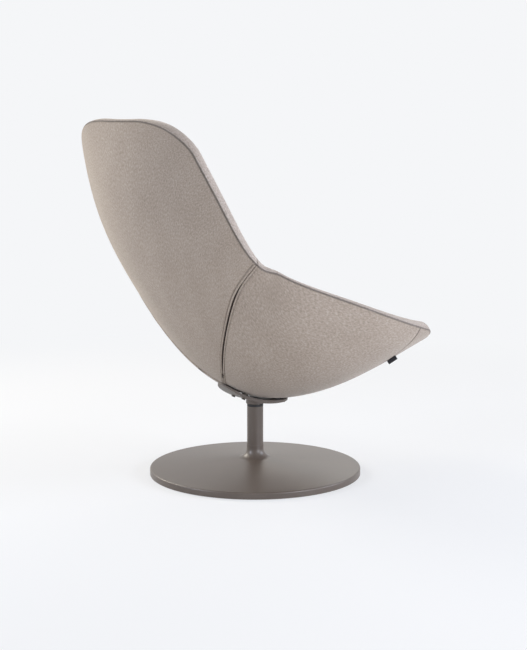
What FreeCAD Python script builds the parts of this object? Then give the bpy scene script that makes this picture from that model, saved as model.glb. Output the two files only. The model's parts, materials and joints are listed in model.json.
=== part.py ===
import FreeCAD, Part
import Sketcher
import math
import os
from FreeCAD import Vector

doc = FreeCAD.newDocument("armchair")

# Driving dimensions in millimetres and degrees, each written once
sizes = {
    # floor and base
    "disc_radius": 300,
    "glide_radius": 288,
    "glide_width": 18,
    "glide_height": 4,
    "glide_edge": 1,
    "ballast_thickness": 10,
    "cover_wall": 2.5,
    "cover_foot": 2,
    "shoulder_height": 20,
    "shoulder_round": 4,
    "cone_height": 48,
    "flare_round": 28,
    "collar_wall": 0.8,
    "collar_height": 84,
    # column and bearings
    "column_radius": 23,
    "column_wall": 3,
    "column_top": 194.5,
    "flange_radius": 68,
    "flange_thickness": 8,
    "flange_edge": 1.5,
    "bolt_circle": 48,
    "bolt_radius": 4,
    "bolt_length": 16,
    "bolt_head_radius": 6.5,
    "bolt_head_height": 8,
    "bolt_socket": 3.4,
    "bolt_socket_depth": 4,
    "spindle_radius": 12.5,
    "spindle_end_edge": 1,
    "bush_length": 30,
    "bush_flange": 4,
    "bush_spacing": 70,
    "thrust_radius": 21,
    "thrust_thickness": 4,
    "washer_radius": 18,
    "washer_thickness": 2,
    "ring_radius": 15.5,
    "ring_thickness": 1.6,
    "groove_depth": 1.2,
    "spindle_tail": 5,
    # main sizes of the seat
    "seat_length": 861,
    "seat_rise": 770,
    "seat_half_width": 356.5,
    "seat_back": 84,
    "seat_foot": 226,
    # bracket under the seat
    "bracket_front": -104,
    "bracket_rear": 114,
    "bracket_width": 86,
    "bracket_thickness": 10,
    "bracket_end": 3.5,
    "bracket_drop": 4,
    "hub_radius": 26,
    "hub_spigot_radius": 16,
    "hub_reach": 10,
    "screw_front": -80,
    "screw_rear": 52,
    "screw_side": 25,
    "screw_radius": 3,
    "screw_head_radius": 5.5,
    "screw_head_height": 3.5,
    "spacer_radius": 9,
    "nut_barrel_radius": 4.5,
    "nut_flange_radius": 9,
    "nut_flange_thickness": 1.5,
    # layers of the seat, each a depth from the outside of the cloth
    "cloth": 1.6,
    "cloth_air": 0.9,
    "outer_foam": 5.5,
    "shell_wall": 12,
    "rim_depth": 36,
    "rim_wall": 2,
    "rim_bulge": 2.5,
    "rim_gap": 0.8,
    # zips in the two side seams
    "tape_width": 22,
    "tape_thickness": 0.4,
    "tape_gap": 0.3,
    "chain_width": 5,
    "chain_thickness": 1.4,
    "slot_width": 7,
    "slider_length": 11,
    "slider_width": 7.5,
    "slider_thickness": 2.6,
    "pull_length": 16,
    "pull_width": 5,
    "pull_thickness": 1,
    # bare cloth tab in the front seam
    "tab_width": 16,
    "tab_drop": 13,
    "tab_thickness": 1,
    # clearances
    "seat_gap": 0.3,
    "seam_gap": 0.6,
    "run_gap": 0.05,
    "press_gap": 0.02,
    "face_gap": 0.1,
    "screw_gap": 0.3,
}

# Six stations from the front lip to the top of the back
# back and up place the centre line, half is the half width at the rim,
# rise, lean and sweep give each cross-section its arc, pad is the extra filling in the middle
# A row with two names in front is made of shares of the second one, counted from the first
stations = {
    "back": ("seat_back", "seat_length", (-0.5852, -0.3009, -0.001, 0.2253, 0.3785, 0.4153)),
    "up": ("seat_foot", "seat_rise", (0.131, 0.0005, 0.036, 0.3216, 0.6639, 0.9999)),
    "half": ("axis", "seat_half_width", (0.7116, 0.9996, 0.9719, 0.9508, 0.9086, 0.6906)),
    "rise": ("axis", "seat_half_width", (0.2211, 0.7026, 0.9834, 0.4636, 0.262, 0.0721)),
    "lean": (115.4, 91.9, 80.2, 113.1, 147.6, 156.3),
    "sweep": (63.4, 72.3, 83.5, 63.5, 37.7, 68.4),
    "pad": (4, 30, 36, 26, 16, 2),
}
station_words = ("lip", "thigh", "seat", "lumbar", "shoulder", "crown")

# Shares of the centre line and of the half width that the rounded corners take
corner = {"top_along": 0.085, "top_across": 0.768, "front_along": 0.06, "front_across": 0.3}

# Side seam, front seam and inner seam as shares of the centre line at even steps across
side_seam = (0.4183, 0.4999, 0.5628, 0.6106, 0.6326)
front_seam_along = (0.07, 0.08, 0.13, 0.23, 0.41)
front_seam_across = (1.0, 0.76, 0.54, 0.34, 0.06)
inner_seam = (0.46, 0.6326)
zip_span = (0.06, 0.86)
zip_ramp = 0.12
zip_margin = 0.085

sheet = doc.addObject("Spreadsheet::Sheet", "sizes")
for name, row in stations.items():
    if isinstance(row[0], str):
        row = [sizes.get(row[0], 0) + sizes[row[1]] * part for part in row[2]]
    for word, number in zip(station_words, row):
        sizes[word + "_" + name] = number


def value(name):
    return sizes[name]


def derive(name, number):
    sizes[name] = number


# Heights and radii that follow from the driving dimensions
derive("ballast_top", value("glide_height") + value("ballast_thickness"))
derive("ballast_radius", value("disc_radius") - value("cover_wall") - value("seat_gap"))
derive("glide_inside", value("glide_radius") - value("glide_width"))
derive("cover_inside", value("disc_radius") - value("cover_wall"))
derive("shoulder_inside", value("shoulder_height") - value("cover_wall"))
derive("collar_radius", value("column_radius") + value("run_gap") + value("collar_wall"))
derive("collar_inside", value("column_radius") + value("run_gap"))
derive("cone_inside", value("cone_height") - value("cover_wall"))
derive("flare_inside_round", value("flare_round") - value("cover_wall"))
derive("flange_top", value("ballast_top") + value("flange_thickness"))
derive("bolt_foot", value("flange_top") - value("bolt_length"))
derive("bolt_top", value("flange_top") + value("bolt_head_height"))
derive("bolt_hole", value("bolt_radius") + value("face_gap"))
derive("column_inside", value("column_radius") - value("column_wall"))
derive("bush_outside", value("column_inside") - value("press_gap"))
derive("bush_bore", value("spindle_radius") + value("run_gap"))
derive("bush_top", value("column_top") + value("bush_flange"))
derive("bush_foot", value("column_top") - value("bush_length"))
derive("low_bush_top", value("bush_foot") - value("bush_spacing") + value("bush_length"))
derive("low_bush_foot", value("low_bush_top") - value("bush_length"))
derive("thrust_top", value("bush_top") + value("thrust_thickness"))
derive("hub_foot", value("thrust_top") + value("run_gap"))
derive("spindle_top", value("hub_foot") + value("hub_reach"))
derive("spindle_foot", value("low_bush_foot") - value("face_gap") - value("washer_thickness")
       - value("ring_thickness") - value("spindle_tail"))
derive("washer_top", value("low_bush_foot") - value("face_gap"))
derive("washer_foot", value("washer_top") - value("washer_thickness"))
derive("ring_top", value("washer_foot") - value("run_gap"))
derive("ring_foot", value("ring_top") - value("ring_thickness"))
derive("groove_radius", value("spindle_radius") - value("groove_depth"))
derive("ring_bore", value("groove_radius") + value("press_gap"))
derive("washer_bore", value("spindle_radius") + value("face_gap"))
derive("hub_bore", value("spindle_radius") + value("press_gap"))

for row, (name, number) in enumerate(sizes.items(), start=1):
    sheet.set("A%d" % row, name)
    sheet.set("B%d" % row, str(number))
    sheet.setAlias("B%d" % row, name)
doc.recompute()


def size(name):
    return float(sheet.get(name))


# Sketches and features


def new_body(label):
    body = doc.addObject("PartDesign::Body", label)
    body.Label = label
    return body


def new_sketch(body, role, name, height=None):
    sketch = body.newObject("Sketcher::SketchObject", name)
    plane = [item for item in body.Origin.OriginFeatures if item.Role == role][0]
    sketch.AttachmentSupport = [(plane, "")]
    sketch.MapMode = "FlatFace"
    if height:
        sketch.setExpression("AttachmentOffset.Base.z", "sizes." + height)
    return sketch


def bind(sketch, kind, place, name):
    index = sketch.addConstraint(Sketcher.Constraint(kind, *place, size(name)))
    sketch.setExpression("Constraints[%d]" % index, "sizes." + name)


# A turned piece from an outline of (radius, height) names around the column axis
def turned(label, outline):
    body = new_body(label)
    sketch = new_sketch(body, "XZ_Plane", label + "_outline")
    points = []
    for across, up in outline:
        points.append(Vector(0 if across == "axis" else size(across), 0 if up == "floor" else size(up), 0))
    count = len(points)
    for index in range(count):
        sketch.addGeometry(Part.LineSegment(points[index], points[(index + 1) % count]))
    for index in range(count):
        sketch.addConstraint(Sketcher.Constraint("Coincident", index, 2, (index + 1) % count, 1))
    for index, (across, up) in enumerate(outline):
        if across == "axis":
            sketch.addConstraint(Sketcher.Constraint("PointOnObject", index, 1, -2))
        else:
            bind(sketch, "DistanceX", (-1, 1, index, 1), across)
        if up == "floor":
            sketch.addConstraint(Sketcher.Constraint("PointOnObject", index, 1, -1))
        else:
            bind(sketch, "DistanceY", (-1, 1, index, 1), up)
    turn = body.newObject("PartDesign::Revolution", label + "_turn")
    turn.Profile = (sketch, [""])
    turn.ReferenceAxis = (sketch, ["V_Axis"])
    turn.Angle = 360
    body.Tip = turn
    doc.recompute()
    return body


# Rounds or bevels the circular edges of a body found by radius and height
def dress(body, kind, places, amount):
    base = body.Tip
    names = []
    for index, edge in enumerate(base.Shape.Edges, start=1):
        if not isinstance(edge.Curve, Part.Circle):
            continue
        for across, up in places:
            high = 0 if up == "floor" else size(up)
            near = abs(edge.Curve.Radius - size(across)) < 0.01 and abs(edge.Curve.Center.z - high) < 0.01
            if near:
                names.append("Edge%d" % index)
    feature = body.newObject("PartDesign::" + kind, "%s_%s_%s" % (body.Label, kind.lower(), amount))
    feature.Base = (base, names)
    feature.setExpression("Radius" if kind == "Fillet" else "Size", "sizes." + amount)
    body.Tip = feature
    doc.recompute()


def circle_sketch(body, name, height, across, radius):
    sketch = new_sketch(body, "XY_Plane", name, height)
    sketch.addGeometry(Part.Circle(Vector(size(across), 0, 0), Vector(0, 0, 1), size(radius)))
    bind(sketch, "DistanceX", (-1, 1, 0, 3), across)
    sketch.addConstraint(Sketcher.Constraint("PointOnObject", 0, 3, -1))
    bind(sketch, "Radius", (0,), radius)
    return sketch


# Pads or pockets a circle and repeats what was made four times round the axis
def add_circle(body, kind, height, across, radius, depth):
    sketch = circle_sketch(body, "%s_%s_outline" % (body.Label, depth), height, across, radius)
    feature = body.newObject("PartDesign::" + kind, "%s_%s" % (body.Label, depth))
    feature.Profile = (sketch, [""])
    feature.setExpression("Length", "sizes." + depth)
    body.Tip = feature
    doc.recompute()
    return feature


def four_times(body, features):
    pattern = body.newObject("PartDesign::PolarPattern", body.Label + "_pattern")
    pattern.Originals = features
    axis = [item for item in body.Origin.OriginFeatures if item.Role == "Z_Axis"][0]
    pattern.Axis = (axis, [""])
    pattern.Angle = 360
    pattern.Occurrences = 4
    body.Tip = pattern
    doc.recompute()


# Base: glide ring, ballast plate, spun cover


def build_base():
    glide = turned("glide_ring", [("glide_inside", "floor"), ("glide_radius", "floor"),
                                  ("glide_radius", "glide_height"), ("glide_inside", "glide_height")])
    dress(glide, "Chamfer", [("glide_radius", "floor"), ("glide_inside", "floor")], "glide_edge")
    plate = turned("ballast_plate", [("axis", "glide_height"), ("ballast_radius", "glide_height"),
                                     ("ballast_radius", "ballast_top"), ("axis", "ballast_top")])
    hole = add_circle(plate, "Pocket", "ballast_top", "bolt_circle", "bolt_hole", "ballast_thickness")
    four_times(plate, [hole])
    cover = turned("base_cover", [
        ("disc_radius", "cover_foot"), ("disc_radius", "shoulder_height"), ("collar_radius", "cone_height"),
        ("collar_radius", "collar_height"), ("collar_inside", "collar_height"), ("collar_inside", "cone_inside"),
        ("cover_inside", "shoulder_inside"), ("cover_inside", "cover_foot")])
    dress(cover, "Fillet", [("collar_radius", "cone_height")], "flare_round")
    dress(cover, "Fillet", [("collar_inside", "cone_inside")], "flare_inside_round")
    dress(cover, "Fillet", [("disc_radius", "shoulder_height")], "shoulder_round")


# Column: tube, welded flange with its bolts, two bushes, thrust washer


def build_column():
    turned("column_tube", [("column_inside", "ballast_top"), ("column_radius", "ballast_top"),
                           ("column_radius", "column_top"), ("column_inside", "column_top")])
    flange = turned("column_flange", [("collar_inside", "ballast_top"), ("flange_radius", "ballast_top"),
                                      ("flange_radius", "flange_top"), ("collar_inside", "flange_top")])
    hole = add_circle(flange, "Pocket", "flange_top", "bolt_circle", "bolt_hole", "flange_thickness")
    four_times(flange, [hole])
    dress(flange, "Chamfer", [("flange_radius", "flange_top")], "flange_edge")
    bolts = new_body("column_bolts")
    bolts.AllowCompound = True
    shank = add_circle(bolts, "Pad", "bolt_foot", "bolt_circle", "bolt_radius", "bolt_length")
    head = add_circle(bolts, "Pad", "flange_top", "bolt_circle", "bolt_head_radius", "bolt_head_height")
    socket = add_circle(bolts, "Pocket", "bolt_top", "bolt_circle", "bolt_socket", "bolt_socket_depth")
    four_times(bolts, [shank, head, socket])
    turned("upper_bush", [("bush_bore", "bush_foot"), ("bush_outside", "bush_foot"),
                          ("bush_outside", "column_top"), ("column_radius", "column_top"),
                          ("column_radius", "bush_top"), ("bush_bore", "bush_top")])
    turned("lower_bush", [("bush_bore", "low_bush_foot"), ("bush_outside", "low_bush_foot"),
                          ("bush_outside", "low_bush_top"), ("bush_bore", "low_bush_top")])
    turned("thrust_washer", [("bush_bore", "bush_top"), ("thrust_radius", "bush_top"),
                             ("thrust_radius", "thrust_top"), ("bush_bore", "thrust_top")])


# Spindle that carries the seat, with the washer and ring that keep it from lifting out


def build_spindle():
    spindle = turned("spindle", [("axis", "spindle_foot"), ("spindle_radius", "spindle_foot"),
                                 ("spindle_radius", "ring_foot"), ("groove_radius", "ring_foot"),
                                 ("groove_radius", "ring_top"), ("spindle_radius", "ring_top"),
                                 ("spindle_radius", "spindle_top"), ("axis", "spindle_top")])
    dress(spindle, "Chamfer", [("spindle_radius", "spindle_foot")], "spindle_end_edge")
    turned("spindle_washer", [("washer_bore", "washer_foot"), ("washer_radius", "washer_foot"),
                              ("washer_radius", "washer_top"), ("washer_bore", "washer_top")])
    turned("retaining_ring", [("ring_bore", "ring_foot"), ("ring_radius", "ring_foot"),
                              ("ring_radius", "ring_top"), ("ring_bore", "ring_top")])


# The seat's outside as a formula: along runs from the front lip (0) to the top of the back (1),
# across from the sitter's right (-1) to the left (1)


def spline_bends(values):
    count = len(values)
    upper = [0.0] * count
    right = [0.0] * count
    bends = [0.0] * count
    for index in range(1, count - 1):
        turn = 6 * (values[index + 1] - 2 * values[index] + values[index - 1]) * (count - 1) ** 2
        pivot = 4 - upper[index - 1]
        upper[index] = 1 / pivot
        right[index] = (turn - right[index - 1]) / pivot
    for index in range(count - 2, 0, -1):
        bends[index] = right[index] - upper[index] * bends[index + 1]
    return bends


def spline_at(values, bends, place):
    step = 1 / (len(values) - 1)
    index = min(max(int(place / step), 0), len(values) - 2)
    ahead = place / step - index
    behind = 1 - ahead
    curve = (behind ** 3 - behind) * bends[index] + (ahead ** 3 - ahead) * bends[index + 1]
    return behind * values[index] + ahead * values[index + 1] + curve * step * step / 6


def make_curve(values):
    bends = spline_bends(values)
    return lambda place: spline_at(values, bends, place)


station = {}
for word in stations:
    station[word] = make_curve([size(name + "_" + word) for name in station_words])
side_seam_along = make_curve(side_seam)
front_along = make_curve(front_seam_along)
front_across = make_curve(front_seam_across)


def skin(along, across):
    sweep = math.radians(station["sweep"](along))
    lean = math.radians(station["lean"](along))
    lift = station["rise"](along) * (1 - math.cos(across * sweep)) / (1 - math.cos(sweep))
    side = station["half"](along) * math.sin(across * sweep) / math.sin(sweep)
    back = station["back"](along) + lift * math.cos(lean)
    return Vector(side, back, station["up"](along) + lift * math.sin(lean))


def slopes(along, across):
    step = 0.001
    along_slope = (skin(along + step, across) - skin(along - step, across)) / (2 * step)
    across_slope = (skin(along, across + step) - skin(along, across - step)) / (2 * step)
    return along_slope, across_slope


# Unit vector from the outside of the seat towards the sitter
def inward(along, across):
    along_slope, across_slope = slopes(along, across)
    return across_slope.cross(along_slope).normalize()


def layer_point(pair, depth):
    return skin(*pair) + inward(*pair) * depth(*pair)


def flat(depth):
    return lambda along, across: depth


# Depth of the sitting side, deepest in the middle of the seat, less what lies over the layer
def sitting(cover):
    return lambda along, across: size("rim_depth") + station["pad"](along) * (1 - across ** 2) - cover


# Rim of the shell: place runs from the middle of the front lip (0) round the left side
# to the middle of the top (1), and negative places give the right side
rim_marks = (0.0, 0.15, 0.25, 0.8, 0.92, 1.0)
front_corner_middle = 0.2
top_corner_middle = 0.86


def share(place, start, end):
    return (place - start) / (end - start)


def rim(place):
    side = -1 if place < 0 else 1
    place = abs(place)
    front_middle = 1 - corner["front_across"]
    top_middle = 1 - corner["top_across"]
    if place < rim_marks[1]:
        pair = (0.0, front_middle * share(place, 0, rim_marks[1]))
    elif place < rim_marks[2]:
        angle = math.pi / 2 * share(place, rim_marks[1], rim_marks[2])
        pair = (corner["front_along"] * (1 - math.cos(angle)),
                front_middle + corner["front_across"] * math.sin(angle))
    elif place < rim_marks[3]:
        reach = 1 - corner["top_along"] - corner["front_along"]
        pair = (corner["front_along"] + reach * share(place, rim_marks[2], rim_marks[3]), 1.0)
    elif place < rim_marks[4]:
        angle = math.pi / 2 * share(place, rim_marks[3], rim_marks[4])
        pair = (1 - corner["top_along"] * (1 - math.sin(angle)),
                top_middle + corner["top_across"] * math.cos(angle))
    else:
        pair = (1.0, top_middle * share(place, rim_marks[5], rim_marks[4]))
    return (pair[0], side * pair[1])


# Place on the rim of a point of its straight side
def rim_place(along):
    reach = 1 - corner["top_along"] - corner["front_along"]
    return rim_marks[2] + (rim_marks[3] - rim_marks[2]) * (along - corner["front_along"]) / reach


# Evenly spaced points of an edge, an edge being a function of a share from 0 to 1
def evenly(edge, count):
    shares = [index / 120 for index in range(121)]
    points = [skin(*edge(share)) for share in shares]
    travelled = [0.0]
    for first, second in zip(points, points[1:]):
        travelled.append(travelled[-1] + (second - first).Length)
    pairs = []
    index = 0
    for number in range(count + 1):
        target = travelled[-1] * number / count
        while index < 119 and travelled[index + 1] < target:
            index += 1
        part = (target - travelled[index]) / (travelled[index + 1] - travelled[index])
        pairs.append(edge(shares[index] + min(part, 1) / 120))
    return pairs


# Grid of points inside four edges, evenly spaced across and by share of each side along
def patch(front, rear, right, left, across_count, along_count):
    front_row = evenly(front, across_count)
    rear_row = evenly(rear, across_count)
    right_row = [right(row / along_count) for row in range(along_count + 1)]
    left_row = [left(row / along_count) for row in range(along_count + 1)]
    grid = []
    for row in range(along_count + 1):
        up = row / along_count
        line = []
        for column in range(across_count + 1):
            over = column / across_count
            pair = []
            for axis in (0, 1):
                edges = (1 - up) * front_row[column][axis] + up * rear_row[column][axis]
                sides = (1 - over) * right_row[row][axis] + over * left_row[row][axis]
                low = (1 - over) * front_row[0][axis] + over * front_row[-1][axis]
                high = (1 - over) * rear_row[0][axis] + over * rear_row[-1][axis]
                pair.append(edges + sides - (1 - up) * low - up * high)
            line.append(tuple(pair))
        grid.append(line)
    return grid


def mirrored(grid):
    return [[(along, -across) for along, across in reversed(line)] for line in grid]


# Solids between two surfaces


def curve_through(points):
    curve = Part.BSplineCurve()
    curve.interpolate(Points=points, Parameters=[index / (len(points) - 1) for index in range(len(points))])
    return curve


# Surface through a grid of points: a curve through each line, then curves through their poles
def surface_through(points):
    lines = [curve_through(line) for line in points]
    columns = [curve_through(list(poles)) for poles in zip(*[line.getPoles() for line in lines])]
    poles = [list(row) for row in zip(*[column.getPoles() for column in columns])]
    surface = Part.BSplineSurface()
    surface.buildFromPolesMultsKnots(
        poles, columns[0].getMultiplicities(), lines[0].getMultiplicities(),
        columns[0].getKnots(), lines[0].getKnots(), False, False, 3, 3)
    return surface


def border(surface, side):
    low_along, high_along, low_across, high_across = surface.bounds()
    curves = {
        "front": lambda: surface.uIso(low_along),
        "rear": lambda: surface.uIso(high_along),
        "right": lambda: surface.vIso(low_across),
        "left": lambda: surface.vIso(high_across),
    }
    return curves[side]().toShape()


# Closes pairs of point grids into one solid, each pair with the sides that need a wall
def closed(pairs):
    faces = []
    for first, second, walls in pairs:
        outer = surface_through(first)
        inner = surface_through(second)
        faces.append(outer.toShape())
        faces.append(inner.toShape())
        for side in walls:
            faces.append(Part.makeRuledSurface(border(outer, side), border(inner, side)))
    shell = Part.makeShell(faces)
    shell.sewShape()
    solid = Part.makeSolid(shell)
    if solid.Volume < 0:
        solid.reverse()
    return solid


def layer(grid, outer, inner, walls=("front", "rear", "right", "left")):
    first = [[layer_point(pair, outer) for pair in line] for line in grid]
    second = [[layer_point(pair, inner) for pair in line] for line in grid]
    return first, second, walls


def add_feature(label, shape):
    feature = doc.addObject("Part::Feature", label)
    feature.Label = label
    feature.Shape = shape


# Seams as edges, moved along the centre line by half the gap between the two panels


def gap_along(pair, tangent, gap):
    along_slope, across_slope = slopes(*pair)
    direction = (along_slope * tangent[0] + across_slope * tangent[1]).normalize()
    return gap / along_slope.cross(direction).Length


def zip_window(place):
    rise = min(max((place - zip_span[0]) / zip_ramp, 0), 1)
    fall = min(max((zip_span[1] - place) / zip_ramp, 0), 1)
    low = min(rise, fall)
    return low * low * (3 - 2 * low)


def side_seam_at(place, gap_side=0):
    along = side_seam_along(place)
    tangent = (side_seam_along(place + 0.01) - side_seam_along(place - 0.01), 0.02)
    gap = size("seam_gap") / 2 + (size("slot_width") - size("seam_gap")) / 2 * zip_window(place)
    return (along + gap_side * gap_along((along, place), tangent, gap), place)


def front_seam_at(place, gap_side=0):
    pair = (front_along(place), front_across(place))
    tangent = (front_along(place + 0.01) - front_along(place - 0.01),
               front_across(place + 0.01) - front_across(place - 0.01))
    return (pair[0] + gap_side * gap_along(pair, tangent, size("seam_gap") / 2), pair[1])


def inner_seam_at(across, gap_side=0):
    along = inner_seam[0] + (inner_seam[1] - inner_seam[0]) * across ** 2
    tangent = (2 * (inner_seam[1] - inner_seam[0]) * across, 1)
    return (along + gap_side * gap_along((along, across), tangent, size("seat_gap") / 2), across)


def line_between(first, second):
    return lambda part: tuple(a + (b - a) * part for a, b in zip(first, second))


def over_top(part):
    place = top_corner_middle + 2 * (1 - top_corner_middle) * part
    return rim(-place) if place < 1 else rim(2 - place)


# Back and seat halves that the layers share, parted at the inner seam or joined there
def back_patch(parted=1):
    low = rim_place(inner_seam_at(1, parted)[0])
    return patch(lambda part: inner_seam_at(2 * part - 1, parted), over_top,
                 lambda part: rim(-(low + (top_corner_middle - low) * part)),
                 lambda part: rim(low + (top_corner_middle - low) * part), 16, 14)


def seat_patch(parted=1):
    high = rim_place(inner_seam_at(1, -parted)[0])
    return patch(lambda part: rim(front_corner_middle * (2 * part - 1)),
                 lambda part: inner_seam_at(2 * part - 1, -parted),
                 lambda part: rim(-(front_corner_middle + (high - front_corner_middle) * part)),
                 lambda part: rim(front_corner_middle + (high - front_corner_middle) * part), 16, 18)


# Screws through the bracket stand square to it in two pairs


def across_at(along, side):
    sweep = math.radians(station["sweep"](along))
    return math.asin(side * math.sin(sweep) / station["half"](along)) / sweep


def along_at(back):
    low = 0.0
    high = 0.6
    for _ in range(40):
        middle = (low + high) / 2
        if skin(middle, 0).y < back:
            low = middle
        else:
            high = middle
    return (low + high) / 2


# Depth of the bracket's underside: a crescent, thinner towards both ends
def bracket_foot(back):
    part = (back - size("bracket_front")) / (size("bracket_rear") - size("bracket_front"))
    thinner = (size("bracket_thickness") - size("bracket_end")) * (2 * part - 1) ** 2
    return thinner - size("bracket_drop") - size("bracket_thickness")


def screw_frames():
    frames = []
    for back in (size("screw_front"), size("screw_rear")):
        along = along_at(back)
        axis = inward(along, 0)
        edges = [bracket_foot(back + reach) for reach in (-size("screw_head_radius"), size("screw_head_radius"))]
        for side in (-size("screw_side"), size("screw_side")):
            foot = skin(along, 0)
            sag = (skin(along, across_at(along, side)) - foot).dot(axis)
            frames.append((foot + Vector(side, 0, 0), axis, sag, min(edges) - size("seat_gap")))
    return frames


def pin(frame, start, end, radius):
    return Part.makeCylinder(radius, end - start, frame[0] + frame[1] * start, frame[1])


def shell_depths():
    outside = size("cloth") + size("cloth_air") + size("outer_foam") + size("seat_gap")
    return outside, outside + size("shell_wall")


# Moulded shell with the four counterbored holes for its tee nuts
def build_shell():
    outside, inside = shell_depths()
    shell = closed([
        layer(seat_patch(0), flat(outside), flat(inside), walls=("front", "right", "left")),
        layer(back_patch(0), flat(outside), flat(inside), walls=("rear", "right", "left"))])
    recess = 2 * size("nut_flange_thickness")
    for frame in screw_frames():
        sag = frame[2]
        hole = pin(frame, sag, sag + inside + recess, size("nut_barrel_radius") + size("screw_gap"))
        wide = size("nut_flange_radius") + size("seat_gap")
        seat = pin(frame, sag + inside - recess, sag + inside + recess, wide)
        shell = shell.cut(hole).cut(seat)
    add_feature("shell", shell.Solids[0])


def build_foams():
    outside, inside = shell_depths()
    foam_top = size("cloth") + size("cloth_air")
    foam_foot = outside - size("seat_gap")
    low = flat(inside + size("seat_gap"))
    high = sitting(size("cloth") + size("seat_gap"))
    back = back_patch()
    seat = seat_patch()
    add_feature("outer_foam_back", closed([layer(back, flat(foam_top), flat(foam_foot))]))
    wrap = closed([layer(seat, flat(foam_top), flat(foam_foot))])
    for frame in screw_frames():
        wrap = wrap.cut(pin(frame, -outside, 3 * outside, size("spacer_radius") + size("seat_gap")))
    add_feature("outer_foam_seat", wrap.Solids[0])
    add_feature("back_foam", closed([layer(back, low, high)]))
    add_feature("seat_foam", closed([layer(seat, low, high)]))
    add_feature("inner_cover_back", closed([layer(back, sitting(size("cloth")), sitting(0))]))
    add_feature("inner_cover_seat", closed([layer(seat, sitting(size("cloth")), sitting(0))]))


# Outer cloth: a back panel that tapers to a point, two side panels and a front panel
def build_outer_covers():
    skins = (flat(0), flat(size("cloth")))
    outside = shell_depths()[0]
    tip = 0.006
    low = rim_place(side_seam_at(1, 1)[0])
    centre = side_seam_at(0, 1)
    half = patch(lambda part: side_seam_at(part, 1),
                 lambda part: rim(1 - (1 - top_corner_middle) * part),
                 line_between(centre, (1.0, 0.0)),
                 lambda part: rim(low + (top_corner_middle - low) * part), 16, 14)
    add_feature("outer_cover_back", closed([
        layer(half, *skins, walls=("front", "rear", "left")),
        layer(mirrored(half), *skins, walls=("front", "rear", "right"))]))

    rim_front = rim_place(front_seam_at(0, 1)[0])
    rim_rear = rim_place(side_seam_at(1, -1)[0])
    side = patch(lambda part: front_seam_at(1 - part, 1),
                 lambda part: side_seam_at(tip + (1 - tip) * part, -1),
                 line_between(front_seam_at(1, 1), side_seam_at(tip, -1)),
                 lambda part: rim(rim_front + (rim_rear - rim_front) * part), 16, 10)
    add_feature("outer_cover_left", closed([layer(side, *skins)]))
    add_feature("outer_cover_right", closed([layer(mirrored(side), *skins)]))

    lip = rim_place(front_seam_at(0, -1)[0])
    front = patch(lambda part: rim(lip * (2 * part - 1)),
                  line_between((front_seam_at(1, -1)[0], -front_seam_at(1, -1)[1]), front_seam_at(1, -1)),
                  lambda part: (front_seam_at(part, -1)[0], -front_seam_at(part, -1)[1]),
                  lambda part: front_seam_at(part, -1), 16, 14)
    cover = closed([layer(front, *skins)])
    for frame in screw_frames():
        cover = cover.cut(pin(frame, -outside, 3 * outside, size("spacer_radius") + size("seat_gap")))
    add_feature("outer_cover_front", cover.Solids[0])


# Rim band: the strip of cloth over the edge between the outer and the inner cloth
def band(edge, turn, count):
    outer = []
    inner = []
    steps = 6
    shares = [index / count for index in range(count + 1)]
    for share_along in shares:
        pair = edge(share_along)
        before = edge(max(share_along - 0.002, 0))
        after = edge(min(share_along + 0.002, 1))
        normal = inward(*pair)
        out = (skin(*after) - skin(*before)).cross(normal).normalize() * turn
        depth = sitting(0)(*pair)
        outer_line = []
        inner_line = []
        for step in range(steps + 1):
            part = step / steps
            foot = skin(*pair) + normal * depth * part
            bulge = size("rim_wall") + size("rim_bulge") * math.sin(math.pi * part)
            outer_line.append(foot + out * (size("rim_gap") + bulge))
            inner_line.append(foot + out * size("rim_gap"))
        outer.append(outer_line)
        inner.append(inner_line)
    return closed([(outer, inner, ("front", "rear", "right", "left"))])


def build_rim_bands():
    seat_end = rim_place(inner_seam_at(1, -1)[0])
    back_end = rim_place(inner_seam_at(1, 1)[0])

    def round_back(part):
        place = back_end + 2 * (1 - back_end) * part
        return rim(-place) if place < 1 else rim(2 - place)

    add_feature("rim_band_seat", band(lambda part: rim(seat_end * (2 * part - 1)), 1, 44))
    add_feature("rim_band_back", band(round_back, -1, 44))


# Zips in the side seams: tape, chain and slider, the left one mirrored to the right
def ribbon(start, end, half_width, top, foot, count):
    first = []
    second = []
    for index in range(count + 1):
        place = start + (end - start) * index / count
        pair = side_seam_at(place)
        tangent = (side_seam_along(place + 0.01) - side_seam_along(place - 0.01), 0.02)
        reach = gap_along(pair, tangent, half_width)
        line = [(pair[0] + reach * part, pair[1]) for part in (-1, -0.5, 0, 0.5, 1)]
        first.append([layer_point(item, flat(top)) for item in line])
        second.append([layer_point(item, flat(foot)) for item in line])
    return closed([(first, second, ("front", "rear", "right", "left"))])


# Placement on the seat's outside: x along the seam, y across it, z outwards
def seam_placement(place, depth):
    pair = side_seam_at(place)
    ahead = (skin(*side_seam_at(place + 0.01)) - skin(*side_seam_at(place - 0.01))).normalize()
    out = inward(*pair) * -1
    rotation = FreeCAD.Rotation(ahead, out.cross(ahead), out, "XZY")
    return FreeCAD.Placement(layer_point(pair, flat(depth)), rotation)


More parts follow.
